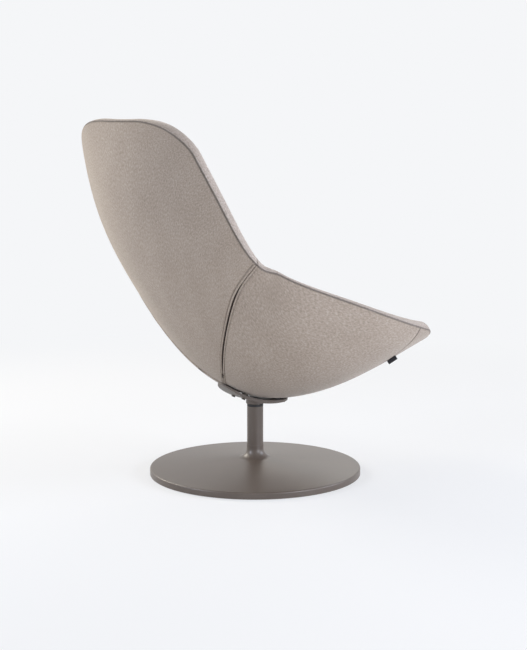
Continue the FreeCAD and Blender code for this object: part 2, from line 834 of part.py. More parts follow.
def build_zips():
    start, end = zip_span
    chain_top = size("cloth") - size("chain_thickness")
    tape_top = size("cloth") + size("tape_gap")
    tape = ribbon(start, end, size("tape_width") / 2, tape_top, tape_top + size("tape_thickness"), 16)
    chain = ribbon(start + zip_margin, end - zip_margin, size("chain_width") / 2, chain_top, size("cloth"), 16)
    length = size("slider_length")
    width = size("slider_width")
    thick = size("slider_thickness")
    slider = Part.makeBox(length, width, thick, Vector(-length / 2, -width / 2, 0))
    slider = slider.makeFillet(thick / 3, [edge for edge in slider.Edges if abs(edge.Length - thick) < 0.01])
    pull = Part.makeBox(size("pull_length"), size("pull_width"), size("pull_thickness"),
                        Vector(-size("pull_length"), -size("pull_width") / 2, thick))
    slider = slider.fuse(pull).removeSplitter()
    slider.Placement = seam_placement(start + 0.06, -size("face_gap"))
    for label, shape in (("zip_tape", tape), ("zip_chain", chain), ("zip_slider", slider)):
        add_feature(label + "_left", shape)
        add_feature(label + "_right", shape.mirror(Vector(0, 0, 0), Vector(1, 0, 0)))


# Small bare tab of cloth that hangs from the front seam on the right
def build_tab():
    along, across = front_seam_at(0.42)
    foot = skin(along, -across)
    out = inward(along, -across) * -1
    ahead = (skin(along + 0.01, -across) - skin(along - 0.01, -across)).normalize()
    tab = Part.makeBox(size("tab_width"), size("tab_thickness"), size("tab_drop"),
                       Vector(-size("tab_width") / 2, -size("tab_thickness") / 2, 0))
    rotation = FreeCAD.Rotation(ahead, ahead.cross(out) * -1, out, "XZY")
    tab.Placement = FreeCAD.Placement(foot + out * size("seat_gap"), rotation)
    add_feature("seam_tab", tab)


# Bracket: a plate bent to the underside of the seat, with the hub that takes the spindle
def build_bracket():
    top = -size("bracket_drop")
    foot = top - size("bracket_thickness")
    front = along_at(size("bracket_front"))
    rear = along_at(size("bracket_rear"))
    shares = [front + (rear - front) * index / 8 for index in range(9)]
    half = size("bracket_width") / 2

    def profile(depth):
        curve = Part.BSplineCurve()
        curve.interpolate([skin(along, 0) + inward(along, 0) * depth(skin(along, 0).y) for along in shares])
        return curve.toShape()

    def prism(high, low):
        upper = profile(lambda back: high)
        lower = profile(lambda back: bracket_foot(back) + low)
        ends = [Part.makeLine(upper.Vertexes[index].Point, lower.Vertexes[index].Point) for index in (0, 1)]
        wire = Part.Wire(Part.__sortEdges__([upper, ends[1], lower, ends[0]]))
        face = Part.Face(wire)
        face.translate(Vector(-2 * half, 0, 0))
        return face.extrude(Vector(4 * half, 0, 0))

    plan = prism(top, 0)
    box = plan.BoundBox
    outline = Part.makeBox(2 * half, box.YLength - 2 * half, 3 * box.ZLength,
                           Vector(-half, box.YMin + half, box.ZMin - box.ZLength))
    for middle in (box.YMin + half, box.YMax - half):
        centre = Vector(0, middle, box.ZMin - box.ZLength)
        outline = outline.fuse(Part.makeCylinder(half, 3 * box.ZLength, centre))
    plate = plan.common(outline.removeSplitter())
    spigot = size("hub_spigot_radius")
    hole = Part.makeCylinder(spigot + size("run_gap"), size("column_top"), Vector(0, 0, size("bush_foot")))
    plate = plate.cut(hole)
    for frame in screw_frames():
        plate = plate.cut(pin(frame, 2 * foot, -foot, size("screw_radius") + size("screw_gap")))
    add_feature("seat_bracket", plate.Solids[0])

    hub = Part.makeCylinder(size("hub_radius"), size("bracket_thickness") * 2, Vector(0, 0, size("hub_foot")))
    hub = hub.cut(prism(size("bracket_width"), -size("face_gap")))
    hub = hub.fuse(Part.makeCylinder(spigot, size("hub_reach"), Vector(0, 0, size("hub_foot"))))
    bore = Part.makeCylinder(size("hub_bore"), size("hub_reach") * 3, Vector(0, 0, size("hub_foot") - 1))
    hub = hub.cut(bore)
    add_feature("bracket_hub", max(hub.removeSplitter().Solids, key=lambda solid: solid.Volume))


# Four spacers, screws and tee nuts between the bracket and the shell
def build_fixings():
    top = -size("bracket_drop")
    outside, inside = shell_depths()
    spacers = []
    screws = []
    nuts = []
    bore = size("screw_radius") + size("screw_gap")
    for frame in screw_frames():
        sag = frame[2]
        upper = sag + outside - 3 * size("seat_gap")
        spacer = pin(frame, top + size("seat_gap"), upper, size("spacer_radius"))
        spacers.append(spacer.cut(pin(frame, top - 1, sag + outside, bore)))
        end = sag + inside - size("screw_radius")
        head_top = frame[3]
        head_foot = head_top - size("screw_head_height")
        shank = pin(frame, head_foot, end, size("screw_radius"))
        head = pin(frame, head_foot, head_top, size("screw_head_radius"))
        screws.append(shank.fuse(head).removeSplitter())
        barrel_start = sag + outside + size("nut_flange_thickness")
        flange_end = sag + inside - size("seat_gap")
        nut = pin(frame, barrel_start, flange_end, size("nut_barrel_radius"))
        flange = pin(frame, flange_end - size("nut_flange_thickness"), flange_end, size("nut_flange_radius"))
        nut = nut.fuse(flange).removeSplitter()
        thread = size("screw_radius") + size("run_gap")
        nuts.append(nut.cut(pin(frame, outside, flange_end + size("cloth"), thread)))
    add_feature("bracket_spacers", Part.makeCompound(spacers))
    add_feature("bracket_screws", Part.makeCompound(screws))
    add_feature("shell_nuts", Part.makeCompound(nuts))


build_base()
build_column()
build_spindle()
build_shell()
build_foams()
build_outer_covers()
build_rim_bands()
build_zips()
build_tab()
build_bracket()
build_fixings()
doc.recompute()

# Every piece is sound before its file is written
faults = []
for item in doc.Objects:
    if any(word in item.State for word in ("Invalid", "Error")):
        faults.append(item.Label + " is " + ", ".join(item.State))
pieces = [item for item in doc.Objects if item.TypeId in ("PartDesign::Body", "Part::Feature")]
for piece in pieces:
    if piece.Shape.isNull() or not piece.Shape.isValid() or not piece.Shape.Solids:
        faults.append(piece.Label + " has no sound shape")
if faults:
    raise RuntimeError("; ".join(faults))
os.makedirs("parts", exist_ok=True)
for piece in pieces:
    piece.Shape.exportStep("parts/%s.step" % piece.Label)
    print(piece.Label, len(piece.Shape.Solids), round(piece.Shape.Volume / 1000, 2), "cm3")
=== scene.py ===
import json
import math

import bmesh
import bpy
import numpy as np
from mathutils import Matrix, Vector


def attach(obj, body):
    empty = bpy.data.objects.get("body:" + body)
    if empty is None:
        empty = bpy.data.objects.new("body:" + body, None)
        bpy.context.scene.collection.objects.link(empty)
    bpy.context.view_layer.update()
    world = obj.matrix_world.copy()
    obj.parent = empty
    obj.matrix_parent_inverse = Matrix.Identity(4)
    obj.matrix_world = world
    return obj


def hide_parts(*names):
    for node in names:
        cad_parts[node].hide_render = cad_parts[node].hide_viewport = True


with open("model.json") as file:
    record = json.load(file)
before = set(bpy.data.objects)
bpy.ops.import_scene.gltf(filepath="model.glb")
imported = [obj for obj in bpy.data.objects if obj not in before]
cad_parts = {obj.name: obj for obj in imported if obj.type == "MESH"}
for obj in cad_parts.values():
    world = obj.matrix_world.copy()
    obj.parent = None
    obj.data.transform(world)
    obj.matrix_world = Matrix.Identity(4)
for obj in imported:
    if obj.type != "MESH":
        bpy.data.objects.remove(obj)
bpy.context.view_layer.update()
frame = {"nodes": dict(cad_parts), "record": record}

# Swivel armchair: a wrapped bucket seat over a slim column and a round painted disc.
# All lengths in the dictionaries are millimetres, the model is in metres.

mm = 0.001
print("frame loaded:", len(frame["nodes"]), "nodes")


def linear(hexColour):  # sRGB hex to the linear numbers that the shaders take
    parts = [int(hexColour[i:i + 2], 16) / 255 for i in (1, 3, 5)]
    return tuple(c / 12.92 if c <= 0.04045 else ((c + 0.055) / 1.055) ** 2.4 for c in parts) + (1.0,)


def bell(value, centre, width):  # 1 at the centre, falling off smoothly to both sides
    return np.exp(-((value - centre) / width) ** 2)


def smoothStep(low, high, value):
    part = np.clip((np.asarray(value, float) - low) / (high - low), 0, 1)
    return part * part * (3 - 2 * part)


def ripple(a, b, seed):  # smooth repeatable waviness from -1 to 1 over two coordinates
    random = np.random.RandomState(seed)
    total = np.zeros(np.broadcast(a, b).shape)
    for _ in range(7):
        turn, size, start = random.uniform(0, math.tau), random.uniform(0.6, 1.7), random.uniform(0, math.tau)
        total = total + np.sin((a * math.cos(turn) + b * math.sin(turn)) * size + start)
    return total / 4


def addObject(name, mesh):
    item = bpy.data.objects.new(name, mesh)
    bpy.context.scene.collection.objects.link(item)
    return item


def meshFrom(work, name):
    mesh = bpy.data.meshes.new(name)
    work.to_mesh(mesh)
    work.free()
    return mesh


def smoothShaded(mesh):
    mesh.polygons.foreach_set("use_smooth", [True] * len(mesh.polygons))


def makePiece(name, points, faces, uv, material):
    mesh = bpy.data.meshes.new(name)
    mesh.from_pydata([tuple(p) for p in points], [], [tuple(int(i) for i in f) for f in faces])
    layer = mesh.uv_layers.new(name="cut")
    corners = np.zeros(len(mesh.loops), int)
    mesh.loops.foreach_get("vertex_index", corners)
    layer.data.foreach_set("uv", np.asarray(uv, float)[corners].ravel())
    work = bmesh.new()
    work.from_mesh(mesh)
    bmesh.ops.recalc_face_normals(work, faces=work.faces)
    work.to_mesh(mesh)
    work.free()
    smoothShaded(mesh)
    mesh.materials.append(material)
    mesh.update()
    return addObject(name, mesh)


def finished(item):  # applies the modifiers that shaped a piece and leaves a plain mesh
    bpy.context.view_layer.update()
    graph = bpy.context.evaluated_depsgraph_get()
    mesh = bpy.data.meshes.new_from_object(item.evaluated_get(graph))
    item.modifiers.clear()
    old = item.data
    item.data = mesh
    bpy.data.meshes.remove(old)
    smoothShaded(mesh)
    return item


seatShape = {  # six stations from the front lip to the top of the back
    "back": (-419.9, -175.1, 83.1, 278, 409.9, 441.6),    # centre line, towards the back
    "up": (326.9, 226.4, 253.7, 473.6, 737.2, 995.9),     # centre line, height
    "half": (253.7, 356.4, 346.5, 339, 323.9, 246.2),     # half width at the rim
    "rise": (78.8, 250.5, 350.6, 165.3, 93.4, 25.7),      # how far the rim stands off the centre line
    "lean": (115.4, 91.9, 80.2, 113.1, 147.6, 156.3),     # degrees, where the cross-section leans
    "sweep": (63.4, 72.3, 83.5, 63.5, 37.7, 68.4),        # degrees, half the arc of the cross-section
    "pad": (4, 30, 36, 26, 16, 2),                        # extra filling in the middle
    "rimDepth": 36, "topAlong": 0.085, "topAcross": 0.768, "frontAlong": 0.06, "frontAcross": 0.3,
    "sideSeam": (0.4183, 0.4999, 0.5628, 0.6106, 0.6326),
    "frontSeamAlong": (0.098, 0.097, 0.127, 0.202, 0.41), "frontSeamAcross": (1.0, 0.798, 0.534, 0.280, 0.06),
    "innerSeam": (0.46, 0.6326), "seamGap": 0.6, "slotWidth": 4.2, "zipSpan": (0.06, 0.86), "zipRamp": 0.2,
    "settleAt": 0.485, "settleSpan": 0.05, "settle": 3.6,  # cloth pulled straight where the arm meets the back
}


def smoothCurve(values):  # natural spline through evenly spaced values
    values = np.array(values, float)
    last = len(values) - 1
    matrix = np.eye(last + 1)
    turns = np.zeros(last + 1)
    for i in range(1, last):
        matrix[i, i - 1:i + 2] = (1, 4, 1)
        turns[i] = 6 * (values[i + 1] - 2 * values[i] + values[i - 1])
    bends = np.linalg.solve(matrix, turns)

    def at(place):
        spot = np.asarray(place, float) * last
        i = np.clip(spot.astype(int), 0, last - 1)
        ahead = spot - i
        behind = 1 - ahead
        return (behind * values[i] + ahead * values[i + 1]
                + ((behind ** 3 - behind) * bends[i] + (ahead ** 3 - ahead) * bends[i + 1]) / 6)
    return at


station = {key: smoothCurve(seatShape[key]) for key in ("back", "up", "half", "rise", "lean", "sweep", "pad")}
sideSeamAlong = smoothCurve(seatShape["sideSeam"])
frontSeamAlong = smoothCurve(seatShape["frontSeamAlong"])
frontSeamAcross = smoothCurve(seatShape["frontSeamAcross"])


def skin(pairs):  # point on the outside of the cloth, in metres
    along, across = pairs[..., 0], pairs[..., 1]
    sweep, lean = np.radians(station["sweep"](along)), np.radians(station["lean"](along))
    lift = station["rise"](along) * (1 - np.cos(across * sweep)) / (1 - np.cos(sweep))
    lift = lift - seatShape["settle"] * bell(along, seatShape["settleAt"], seatShape["settleSpan"]) * across ** 4
    side = station["half"](along) * np.sin(across * sweep) / np.sin(sweep)
    return np.stack([side, station["back"](along) + lift * np.cos(lean),
                     station["up"](along) + lift * np.sin(lean)], -1) * mm


def slopes(pairs):
    step = 0.001
    a, b = np.array([step, 0.0]), np.array([0.0, step])
    return (skin(pairs + a) - skin(pairs - a)) / (2 * step), (skin(pairs + b) - skin(pairs - b)) / (2 * step)


def unit(vectors):
    return vectors / np.maximum(np.linalg.norm(vectors, axis=-1, keepdims=True), 1e-12)


def inward(pairs):  # towards the sitter
    alongSlope, acrossSlope = slopes(pairs)
    return unit(np.cross(acrossSlope, alongSlope))


def layerPoints(pairs, depth):  # depth in metres
    return skin(pairs) + inward(pairs) * np.broadcast_to(depth, pairs.shape[:-1])[..., None]


def sitting(pairs):  # depth of the sitter's side below the outside of the cloth
    return (seatShape["rimDepth"] + station["pad"](pairs[..., 0]) * (1 - pairs[..., 1] ** 2)) * mm


rimMarks = (0.0, 0.15, 0.25, 0.8, 0.92, 1.0)  # where the straight and rounded parts of the rim meet
frontMiddle, topMiddle = 0.2, 0.86  # where the rounded corners are parted


def rim(place):  # from the middle of the front lip (0) round the left side to the middle of the top (1)
    place = np.asarray(place, float)
    side, p = np.where(place < 0, -1.0, 1.0), np.abs(place)
    shape = seatShape
    flatFront, flatTop = 1 - shape["frontAcross"], 1 - shape["topAcross"]
    share = [(p - rimMarks[i]) / (rimMarks[i + 1] - rimMarks[i]) for i in range(5)]
    front, top = share[1] * math.pi / 2, share[3] * math.pi / 2
    reach = 1 - shape["topAlong"] - shape["frontAlong"]
    zones = [p < rimMarks[1], p < rimMarks[2], p < rimMarks[3], p < rimMarks[4]]
    along = np.select(zones, [0 * p, shape["frontAlong"] * (1 - np.cos(front)),
                              shape["frontAlong"] + reach * share[2],
                              1 - shape["topAlong"] * (1 - np.sin(top))], 1.0)
    across = np.select(zones, [flatFront * share[0], flatFront + shape["frontAcross"] * np.sin(front),
                               0 * p + 1, flatTop + shape["topAcross"] * np.cos(top)],
                       flatTop * (1 - share[4]))
    return np.stack([along, side * across], -1)


def rimPlace(pair):  # where the straight side of the rim meets a seam
    reach = 1 - seatShape["topAlong"] - seatShape["frontAlong"]
    return float(rimMarks[2] + (rimMarks[3] - rimMarks[2]) * (pair[0] - seatShape["frontAlong"]) / reach)


def rimPart(start, end):
    return lambda part: rim(start + (end - start) * part)


def roundFront(end):  # from one side past the front lip to the other
    return lambda part: rim(end * (2 * part - 1))


def roundTop(start):  # from one side over the top to the other
    def at(part):
        place = start + 2 * (1 - start) * part
        return rim(np.where(place < 1, -place, 2 - place))
    return at


otherSide = np.array([1, -1])  # turns a pair to the other side of the seat


seamStep = 0.01  # share of a seam over which its direction is taken


def besideSeam(line, place, side, gap):  # on a seam, or on the cloth edge that keeps a gap to it in millimetres
    place = np.asarray(place, float)
    pairs = line(place)
    tangent = line(place + seamStep) - line(place - seamStep)
    alongSlope, acrossSlope = slopes(pairs)
    direction = unit(alongSlope * tangent[..., :1] + acrossSlope * tangent[..., 1:])
    pairs[..., 0] += side * (gap * mm / np.linalg.norm(np.cross(alongSlope, direction), axis=-1))
    return pairs


def zipWindow(place):  # 0 where the side seam is closed, 1 where the slot over the zip is fully open
    start, end = seatShape["zipSpan"]
    return smoothStep(0, 1, np.minimum(place - start, end - place) / seatShape["zipRamp"])


def halfSlot(place):  # half the width between the two cloth edges of the side seam
    return seatShape["seamGap"] / 2 + (seatShape["slotWidth"] - seatShape["seamGap"]) / 2 * zipWindow(place)


def sideSeam(place, side=0.0, gap=None):
    return besideSeam(lambda s: np.stack([sideSeamAlong(s), s], -1), place, side,
                      halfSlot(place) if gap is None else gap)


def frontSeam(place, side=0.0):
    return besideSeam(lambda s: np.stack([frontSeamAlong(s), frontSeamAcross(s)], -1), place, side,
                      seatShape["seamGap"] / 2)


def innerSeam(across, side=0.0):
    low, high = seatShape["innerSeam"]
    return besideSeam(lambda s: np.stack([low + (high - low) * s ** 2, s], -1), across, side,
                      seatShape["seamGap"] / 2)


def lineBetween(first, second):
    return lambda part: first + (second - first) * np.asarray(part)[..., None]


def travelledAlong(points):
    return np.concatenate([[0], np.cumsum(np.linalg.norm(np.diff(points, axis=0), axis=-1))])


def evenly(edge, shares):  # an edge at shares of its real length
    fine = np.linspace(0, 1, 401)
    travelled = travelledAlong(skin(edge(fine)))
    return edge(np.interp(shares * travelled[-1], travelled, fine))


def coons(front, rear, right, left, acrossShares, alongShares):  # grid of pairs inside four edges
    frontRow, rearRow = evenly(front, acrossShares), evenly(rear, acrossShares)
    rightRow, leftRow = right(alongShares), left(alongShares)
    up, over = alongShares[:, None, None], acrossShares[None, :, None]
    return ((1 - up) * frontRow[None] + up * rearRow[None] + (1 - over) * rightRow[:, None] + over * leftRow[:, None]
            - (1 - up) * ((1 - over) * frontRow[0] + over * frontRow[-1])
            - up * ((1 - over) * rearRow[0] + over * rearRow[-1]))


closeRows = (0, 0.5, 1.0, 1.6, 2.3, 3.2, 4.4, 5.8, 7.2, 8.2, 9.0, 9.8, 11.2, 13.5)  # where a hem rolls in


def gradedShares(length, step, start=True):  # close rows at the hems, even ones between them
    close = np.array(closeRows) * mm
    low = close if start else np.array([0.0])
    high = length - close[::-1]
    count = max(2, int(round((high[0] - low[-1]) / (step * mm))))
    middle = np.linspace(low[-1], high[0], count + 1)[1:-1]
    return np.concatenate([low, middle, high]) / length


def edgeDistances(points):  # how far each grid point lies from the four edges, along the grid
    rows = np.linalg.norm(np.diff(points, axis=0), axis=-1)
    columns = np.linalg.norm(np.diff(points, axis=1), axis=-1)
    fromFront = np.concatenate([np.zeros((1, points.shape[1])), np.cumsum(rows, 0)], 0)
    fromRight = np.concatenate([np.zeros((points.shape[0], 1)), np.cumsum(columns, 1)], 1)
    return fromFront, fromFront[-1:] - fromFront, fromRight, fromRight[:, -1:] - fromRight


def rolledIn(distance, radius):  # quarter round at the edge of a panel
    short = np.clip(1 - distance / radius, 0, 1)
    return radius * (1 - np.sqrt(np.clip(1 - short ** 2, 0, 1)))


def gridFaces(rows, columns, first=0):
    r, c = np.meshgrid(np.arange(rows - 1), np.arange(columns - 1), indexing="ij")
    a = (first + r * columns + c).ravel()
    return np.stack([a, a + columns, a + columns + 1, a + 1], -1)


wallCloth = 4  # cloth taken up between the outer and the inner grid


def closedPanel(name, outer, inner, uv, material, wallRings=1, paintedShadeAndLight=0.0):  # two grids joined round their borders
    rows, columns = outer.shape[:2]
    count = rows * columns
    ring = np.concatenate([np.arange(columns), np.arange(1, rows) * columns + columns - 1,
                           (rows - 1) * columns + np.arange(columns - 2, -1, -1),
                           np.arange(rows - 2, 0, -1) * columns])
    points = [outer.reshape(-1, 3), inner.reshape(-1, 3)]
    faces = [gridFaces(rows, columns), gridFaces(rows, columns, count)[:, ::-1]]
    uvs = [uv.reshape(-1, 2)] * 2
    levels = [ring]
    for level in range(1, wallRings):
        part = level / wallRings
        levels.append(2 * count + (level - 1) * len(ring) + np.arange(len(ring)))
        points.append(points[0][ring] * (1 - part) + points[1][ring] * part)
        uvs.append(uvs[0][ring] + part * wallCloth * mm)
    levels.append(ring + count)
    for low, high in zip(levels, levels[1:]):
        faces.append(np.stack([low, np.roll(low, -1), np.roll(high, -1), high], -1))
    piece = makePiece(name, np.concatenate(points), np.concatenate(faces), np.concatenate(uvs), material)
    # painted shade: the outer grid takes the given darkening of its cloth colour, and the inner grid and the walls
    # take the full darkening
    shade = np.ones(len(piece.data.vertices))
    shade[:count] = np.broadcast_to(paintedShadeAndLight, (rows, columns)).ravel()
    piece.data.attributes.new("paintedShadeAndLight", "FLOAT", "POINT").data.foreach_set("value", shade)
    return piece


def clothUv(points):  # flat measure of a panel: metres along and across its threads
    rows, columns = points.shape[:2]
    fromFront, _, fromRight, _ = edgeDistances(points)
    middle = columns // 2
    return np.stack([fromRight - fromRight[:, middle:middle + 1],
                     np.broadcast_to(fromFront.mean(1, keepdims=True), (rows, columns))], -1)


def feed(tree, node, feeds):  # each input takes a socket or a plain value
    for key, source in feeds.items():
        if isinstance(source, bpy.types.NodeSocket):
            tree.links.new(source, node.inputs[key])
        else:
            node.inputs[key].default_value = source


def addNode(tree, kind, settings=None, feeds=None, **inputs):
    node = tree.nodes.new(kind)
    for key, value in (settings or {}).items():
        setattr(node, key, value)
    feed(tree, node, {**(feeds or {}), **inputs})
    return node


def mathNode(tree, operation, *sources):
    return addNode(tree, "ShaderNodeMath", {"operation": operation}, dict(enumerate(sources))).outputs[0]


def mixNode(tree, share, first, second):
    return addNode(tree, "ShaderNodeMix", {"data_type": "FLOAT"}, {0: share, 2: first, 3: second}).outputs[0]


def noiseNode(tree, vector, scale, detail, roughness=0.5, flat=False):
    return addNode(tree, "ShaderNodeTexNoise", {"noise_dimensions": "2D" if flat else "3D"}, {"Vector": vector},
                   Scale=scale, Detail=detail, Roughness=roughness).outputs["Fac"]


def rangeNode(tree, source, low, high):
    return addNode(tree, "ShaderNodeMapRange", feeds={"Value": source, 3: low, 4: high}).outputs[0]


def colourRamp(tree, source, stops):
    ramp = addNode(tree, "ShaderNodeValToRGB", feeds={"Fac": source})
    for place, _ in stops[2:]:
        ramp.color_ramp.elements.new(place)
    for element, (place, hexColour) in zip(ramp.color_ramp.elements, sorted(stops)):
        element.position = place
        element.color = linear(hexColour)
    return ramp.outputs[0]


def twoTone(tree, source, hexColours, low):  # the darker one below this value, the lighter one as far from the top
    return colourRamp(tree, source, [(low, hexColours[0]), (1 - low, hexColours[1])])


def bumpNode(tree, height, strength, depth):  # depth in millimetres
    return addNode(tree, "ShaderNodeBump", feeds={"Height": height}, Strength=strength, Distance=depth * mm).outputs[0]


def perMetre(size):  # texture scale that draws a feature at its size in millimetres
    return 1000 / size


def objectPlace(tree):
    return addNode(tree, "ShaderNodeTexCoord").outputs["Object"]


def stretchedNoise(tree, scales, detail):
    stretch = addNode(tree, "ShaderNodeMapping", feeds={"Vector": objectPlace(tree)}, Scale=scales).outputs[0]
    return noiseNode(tree, stretch, 1.0, detail)


def emptyTree(owner):
    owner.use_nodes = True
    owner.node_tree.nodes.clear()
    return owner.node_tree


def newMaterial(name):
    material = bpy.data.materials.new(name)
    tree = emptyTree(material)
    shader = tree.nodes.new("ShaderNodeBsdfPrincipled")
    addNode(tree, "ShaderNodeOutputMaterial", feeds={0: shader.outputs[0]})
    return material, tree, shader


weave = {  # the heather is drawn coarser than the real yarn, whose 1 mm specks a pixel of the picture can't show
    "threadPitch": 1.5, "slubLength": 7.0, "slubWidth": 1.3, "slubRoughness": 0.6, "heatherSize": 5.0,
    "heatherShare": 0.55, "heatherRoughness": 0.55, "cloudSize": 90.0, "cloudShare": 0.12, "paintedShadeStrength": 0.62,
    "bumpStrength": 0.4, "bumpDepth": 0.25, "roughness": 0.92, "shine": 0.25,
    "sheen": 0.35, "sheenRoughness": 0.45, "sheenTint": "#e8e2dc",
    "dark": "#86796c", "middle": "#9b8e81", "light": "#b0a497",
}


def clothMaterial(name, tone=weave):
    # Wool and polyester flat weave in mixed yarns: gives a fine warm and grey heather, short slubs
    # along the threads, a dry matt face and a pale fuzz where it turns away
    material, tree, shader = newMaterial(name)
    place = addNode(tree, "ShaderNodeUVMap", {"uv_map": "cut"}).outputs[0]
    slubs = []
    for wide, high in ((tone["slubWidth"], tone["slubLength"]), (tone["slubLength"], tone["slubWidth"])):
        scaled = addNode(tree, "ShaderNodeVectorMath", {"operation": "MULTIPLY"},
                         {0: place, 1: (perMetre(wide), perMetre(high), 1)}).outputs[0]
        slubs.append(noiseNode(tree, scaled, 1.0, 2.0, tone["slubRoughness"], flat=True))
    threads = addNode(tree, "ShaderNodeVectorMath", {"operation": "SCALE"}, {0: place},
                      Scale=perMetre(tone["threadPitch"])).outputs[0]
    checker = addNode(tree, "ShaderNodeTexChecker", feeds={"Vector": threads}, Scale=1.0).outputs["Fac"]
    heather = noiseNode(tree, place, perMetre(tone["heatherSize"]), 2.0, tone["heatherRoughness"], flat=True)
    blended = mixNode(tree, tone["heatherShare"], mixNode(tree, checker, *slubs), heather)
    cloud = noiseNode(tree, place, perMetre(tone["cloudSize"]), 3.0, flat=True)
    cloudPart = mathNode(tree, "MULTIPLY_ADD", cloud, tone["cloudShare"], -tone["cloudShare"] / 2)
    mixed = mathNode(tree, "ADD", blended, cloudPart)
    colour = colourRamp(tree, mixed, [(0.3, tone["dark"]), (0.7, tone["light"]), (0.5, tone["middle"])])
    # painted shade: this attribute darkens the cloth colour in seams, slots, grooves and panel walls, and its negative
    # values paint light on the zip lips
    paintedShadeAndLight = addNode(tree, "ShaderNodeAttribute", {"attribute_name": "paintedShadeAndLight"}).outputs["Fac"]  # 1 deep in a seam
    level = mathNode(tree, "MULTIPLY_ADD", paintedShadeAndLight, -tone["paintedShadeStrength"], 1.0)
    shaded = addNode(tree, "ShaderNodeVectorMath", {"operation": "SCALE"}, {0: colour, "Scale": level}).outputs[0]
    axes = addNode(tree, "ShaderNodeSeparateXYZ", feeds={0: threads}).outputs
    rounds = [mathNode(tree, "SQRT", mathNode(tree, "PINGPONG", axes[axis], 0.5)) for axis in (0, 1)]
    height = mathNode(tree, "ADD", mixNode(tree, checker, *rounds), mixed)
    feed(tree, shader, {
        "Base Color": shaded, "Normal": bumpNode(tree, height, tone["bumpStrength"], tone["bumpDepth"]),
        "Roughness": tone["roughness"], "Specular IOR Level": tone["shine"], "Sheen Weight": tone["sheen"],
        "Sheen Roughness": tone["sheenRoughness"], "Sheen Tint": linear(tone["sheenTint"])})
    return material


coat = {"patchScale": 9.0, "darkBelow": 0.35, "spread": 0.03, "bumpStrength": 0.25, "index": 1.5}


def paintMaterial(name, hexColours, roughness, grain, bumpDepth):
    # Satin powder coat on steel: even colour, a soft wide highlight and a very fine orange peel
    material, tree, shader = newMaterial(name)
    place = objectPlace(tree)
    peel = noiseNode(tree, place, perMetre(grain), 2.0)
    patch = noiseNode(tree, place, coat["patchScale"], 3.0)
    feed(tree, shader, {
        "Base Color": twoTone(tree, patch, hexColours, coat["darkBelow"]),
        "Roughness": rangeNode(tree, patch, roughness - coat["spread"], roughness + coat["spread"]),
        "Normal": bumpNode(tree, peel, coat["bumpStrength"], bumpDepth), "IOR": coat["index"]})
    return material


brushing = {"scales": (40, 40, 1400), "darkBelow": 0.3, "smoother": 0.06, "rougher": 0.08}


def metalMaterial(name, hexColours, roughness):
    # Turned or plated steel: fine scratches round the part and a slightly uneven sheen
    material, tree, shader = newMaterial(name)
    lines = stretchedNoise(tree, brushing["scales"], 2.0)
    feed(tree, shader, {
        "Base Color": twoTone(tree, lines, hexColours, brushing["darkBelow"]),
        "Roughness": rangeNode(tree, lines, roughness - brushing["smoother"], roughness + brushing["rougher"]),
        "Metallic": 1.0})
    return material


def grainMaterial(name, hexColours, roughness, scales, bumpDepth):
    # Mouldings, veneer, foam and ribbon: a two-tone grain with its own direction and relief
    material, tree, shader = newMaterial(name)
    grain = stretchedNoise(tree, scales, 3.0)
    feed(tree, shader, {
        "Base Color": twoTone(tree, grain, hexColours, 0.32),
        "Normal": bumpNode(tree, grain, 0.5, bumpDepth), "Roughness": roughness})
    return material


outerCloth = clothMaterial("heatheredFlatWeave")
# the same weave in lighter colours: painted light on the bands and pads, which face the lamps more than the outer
# cover
innerClothPaintedLight = clothMaterial("heatheredFlatWeavePaintedLight", dict(weave, dark="#968a80", middle="#ada197", light="#c0b5ac"))
paint = paintMaterial("satinTaupePowderCoat", ("#5a5048", "#5f554d"), 0.38, 0.9, 0.03)
plainSteel = metalMaterial("turnedSteel", ("#8a8a8c", "#a5a5a6"), 0.36)
# plated steel given a dark colour: painted shade for the small plated parts in the gap between bracket and seat
zincSteelPaintedShade = metalMaterial("zincSteelDarkenedForShade", ("#4a4641", "#57524c"), 0.5)
zipMetal = metalMaterial("darkBronzeZip", ("#3a342f", "#55493f"), 0.38)
blackPolymer = grainMaterial("mouldedBlackNylon", ("#141414", "#1d1d1d"), 0.55, (900, 900, 900), 0.05)
plywood = grainMaterial("mouldedBeechPly", ("#a87f52", "#c39a68"), 0.6, (30, 260, 260), 0.05)
foam = grainMaterial("openCellFoam", ("#cfc5a8", "#e0d8bf"), 0.95, (700, 700, 700), 0.4)
zipCloth = grainMaterial("wovenZipTape", ("#2b2622", "#3a332d"), 0.85, (1300, 1300, 1300), 0.1)
tabRibbon = grainMaterial("wovenCharcoalRibbon", ("#1f1f23", "#2f2f34"), 0.8, (1500, 1500, 1500), 0.1)
sewingThread = grainMaterial("polyesterThread", ("#9b8f83", "#b5aa9e"), 0.6, (2500, 2500, 2500), 0.05)
print("materials made")


view = {  # fitted to the photograph: degrees, metres and pixels
    "azimuth": 235.0, "distance": 4.0, "height": 1.026, "pitch": 8.53, "yaw": -0.34,
    "focalPixels": 1435.0, "longSide": 650.0, "sensor": 36.0, "farthest": 100,
}


def buildCamera():
    data = bpy.data.cameras.new("photoView")
    data.sensor_width = view["sensor"]
    data.lens = view["focalPixels"] * view["sensor"] / view["longSide"]
    data.clip_end = view["farthest"]
    camera = addObject("photoView", data)
    turn, tilt = math.radians(view["azimuth"]), math.radians(view["pitch"])
    camera.location = (view["distance"] * math.sin(turn), -view["distance"] * math.cos(turn), view["height"])
    aim = turn + math.radians(view["yaw"])
    ahead = Vector((-math.sin(aim) * math.cos(tilt), math.cos(aim) * math.cos(tilt), -math.sin(tilt)))
    camera.rotation_euler = ahead.to_track_quat("-Z", "Y").to_euler()
    bpy.context.scene.camera = camera


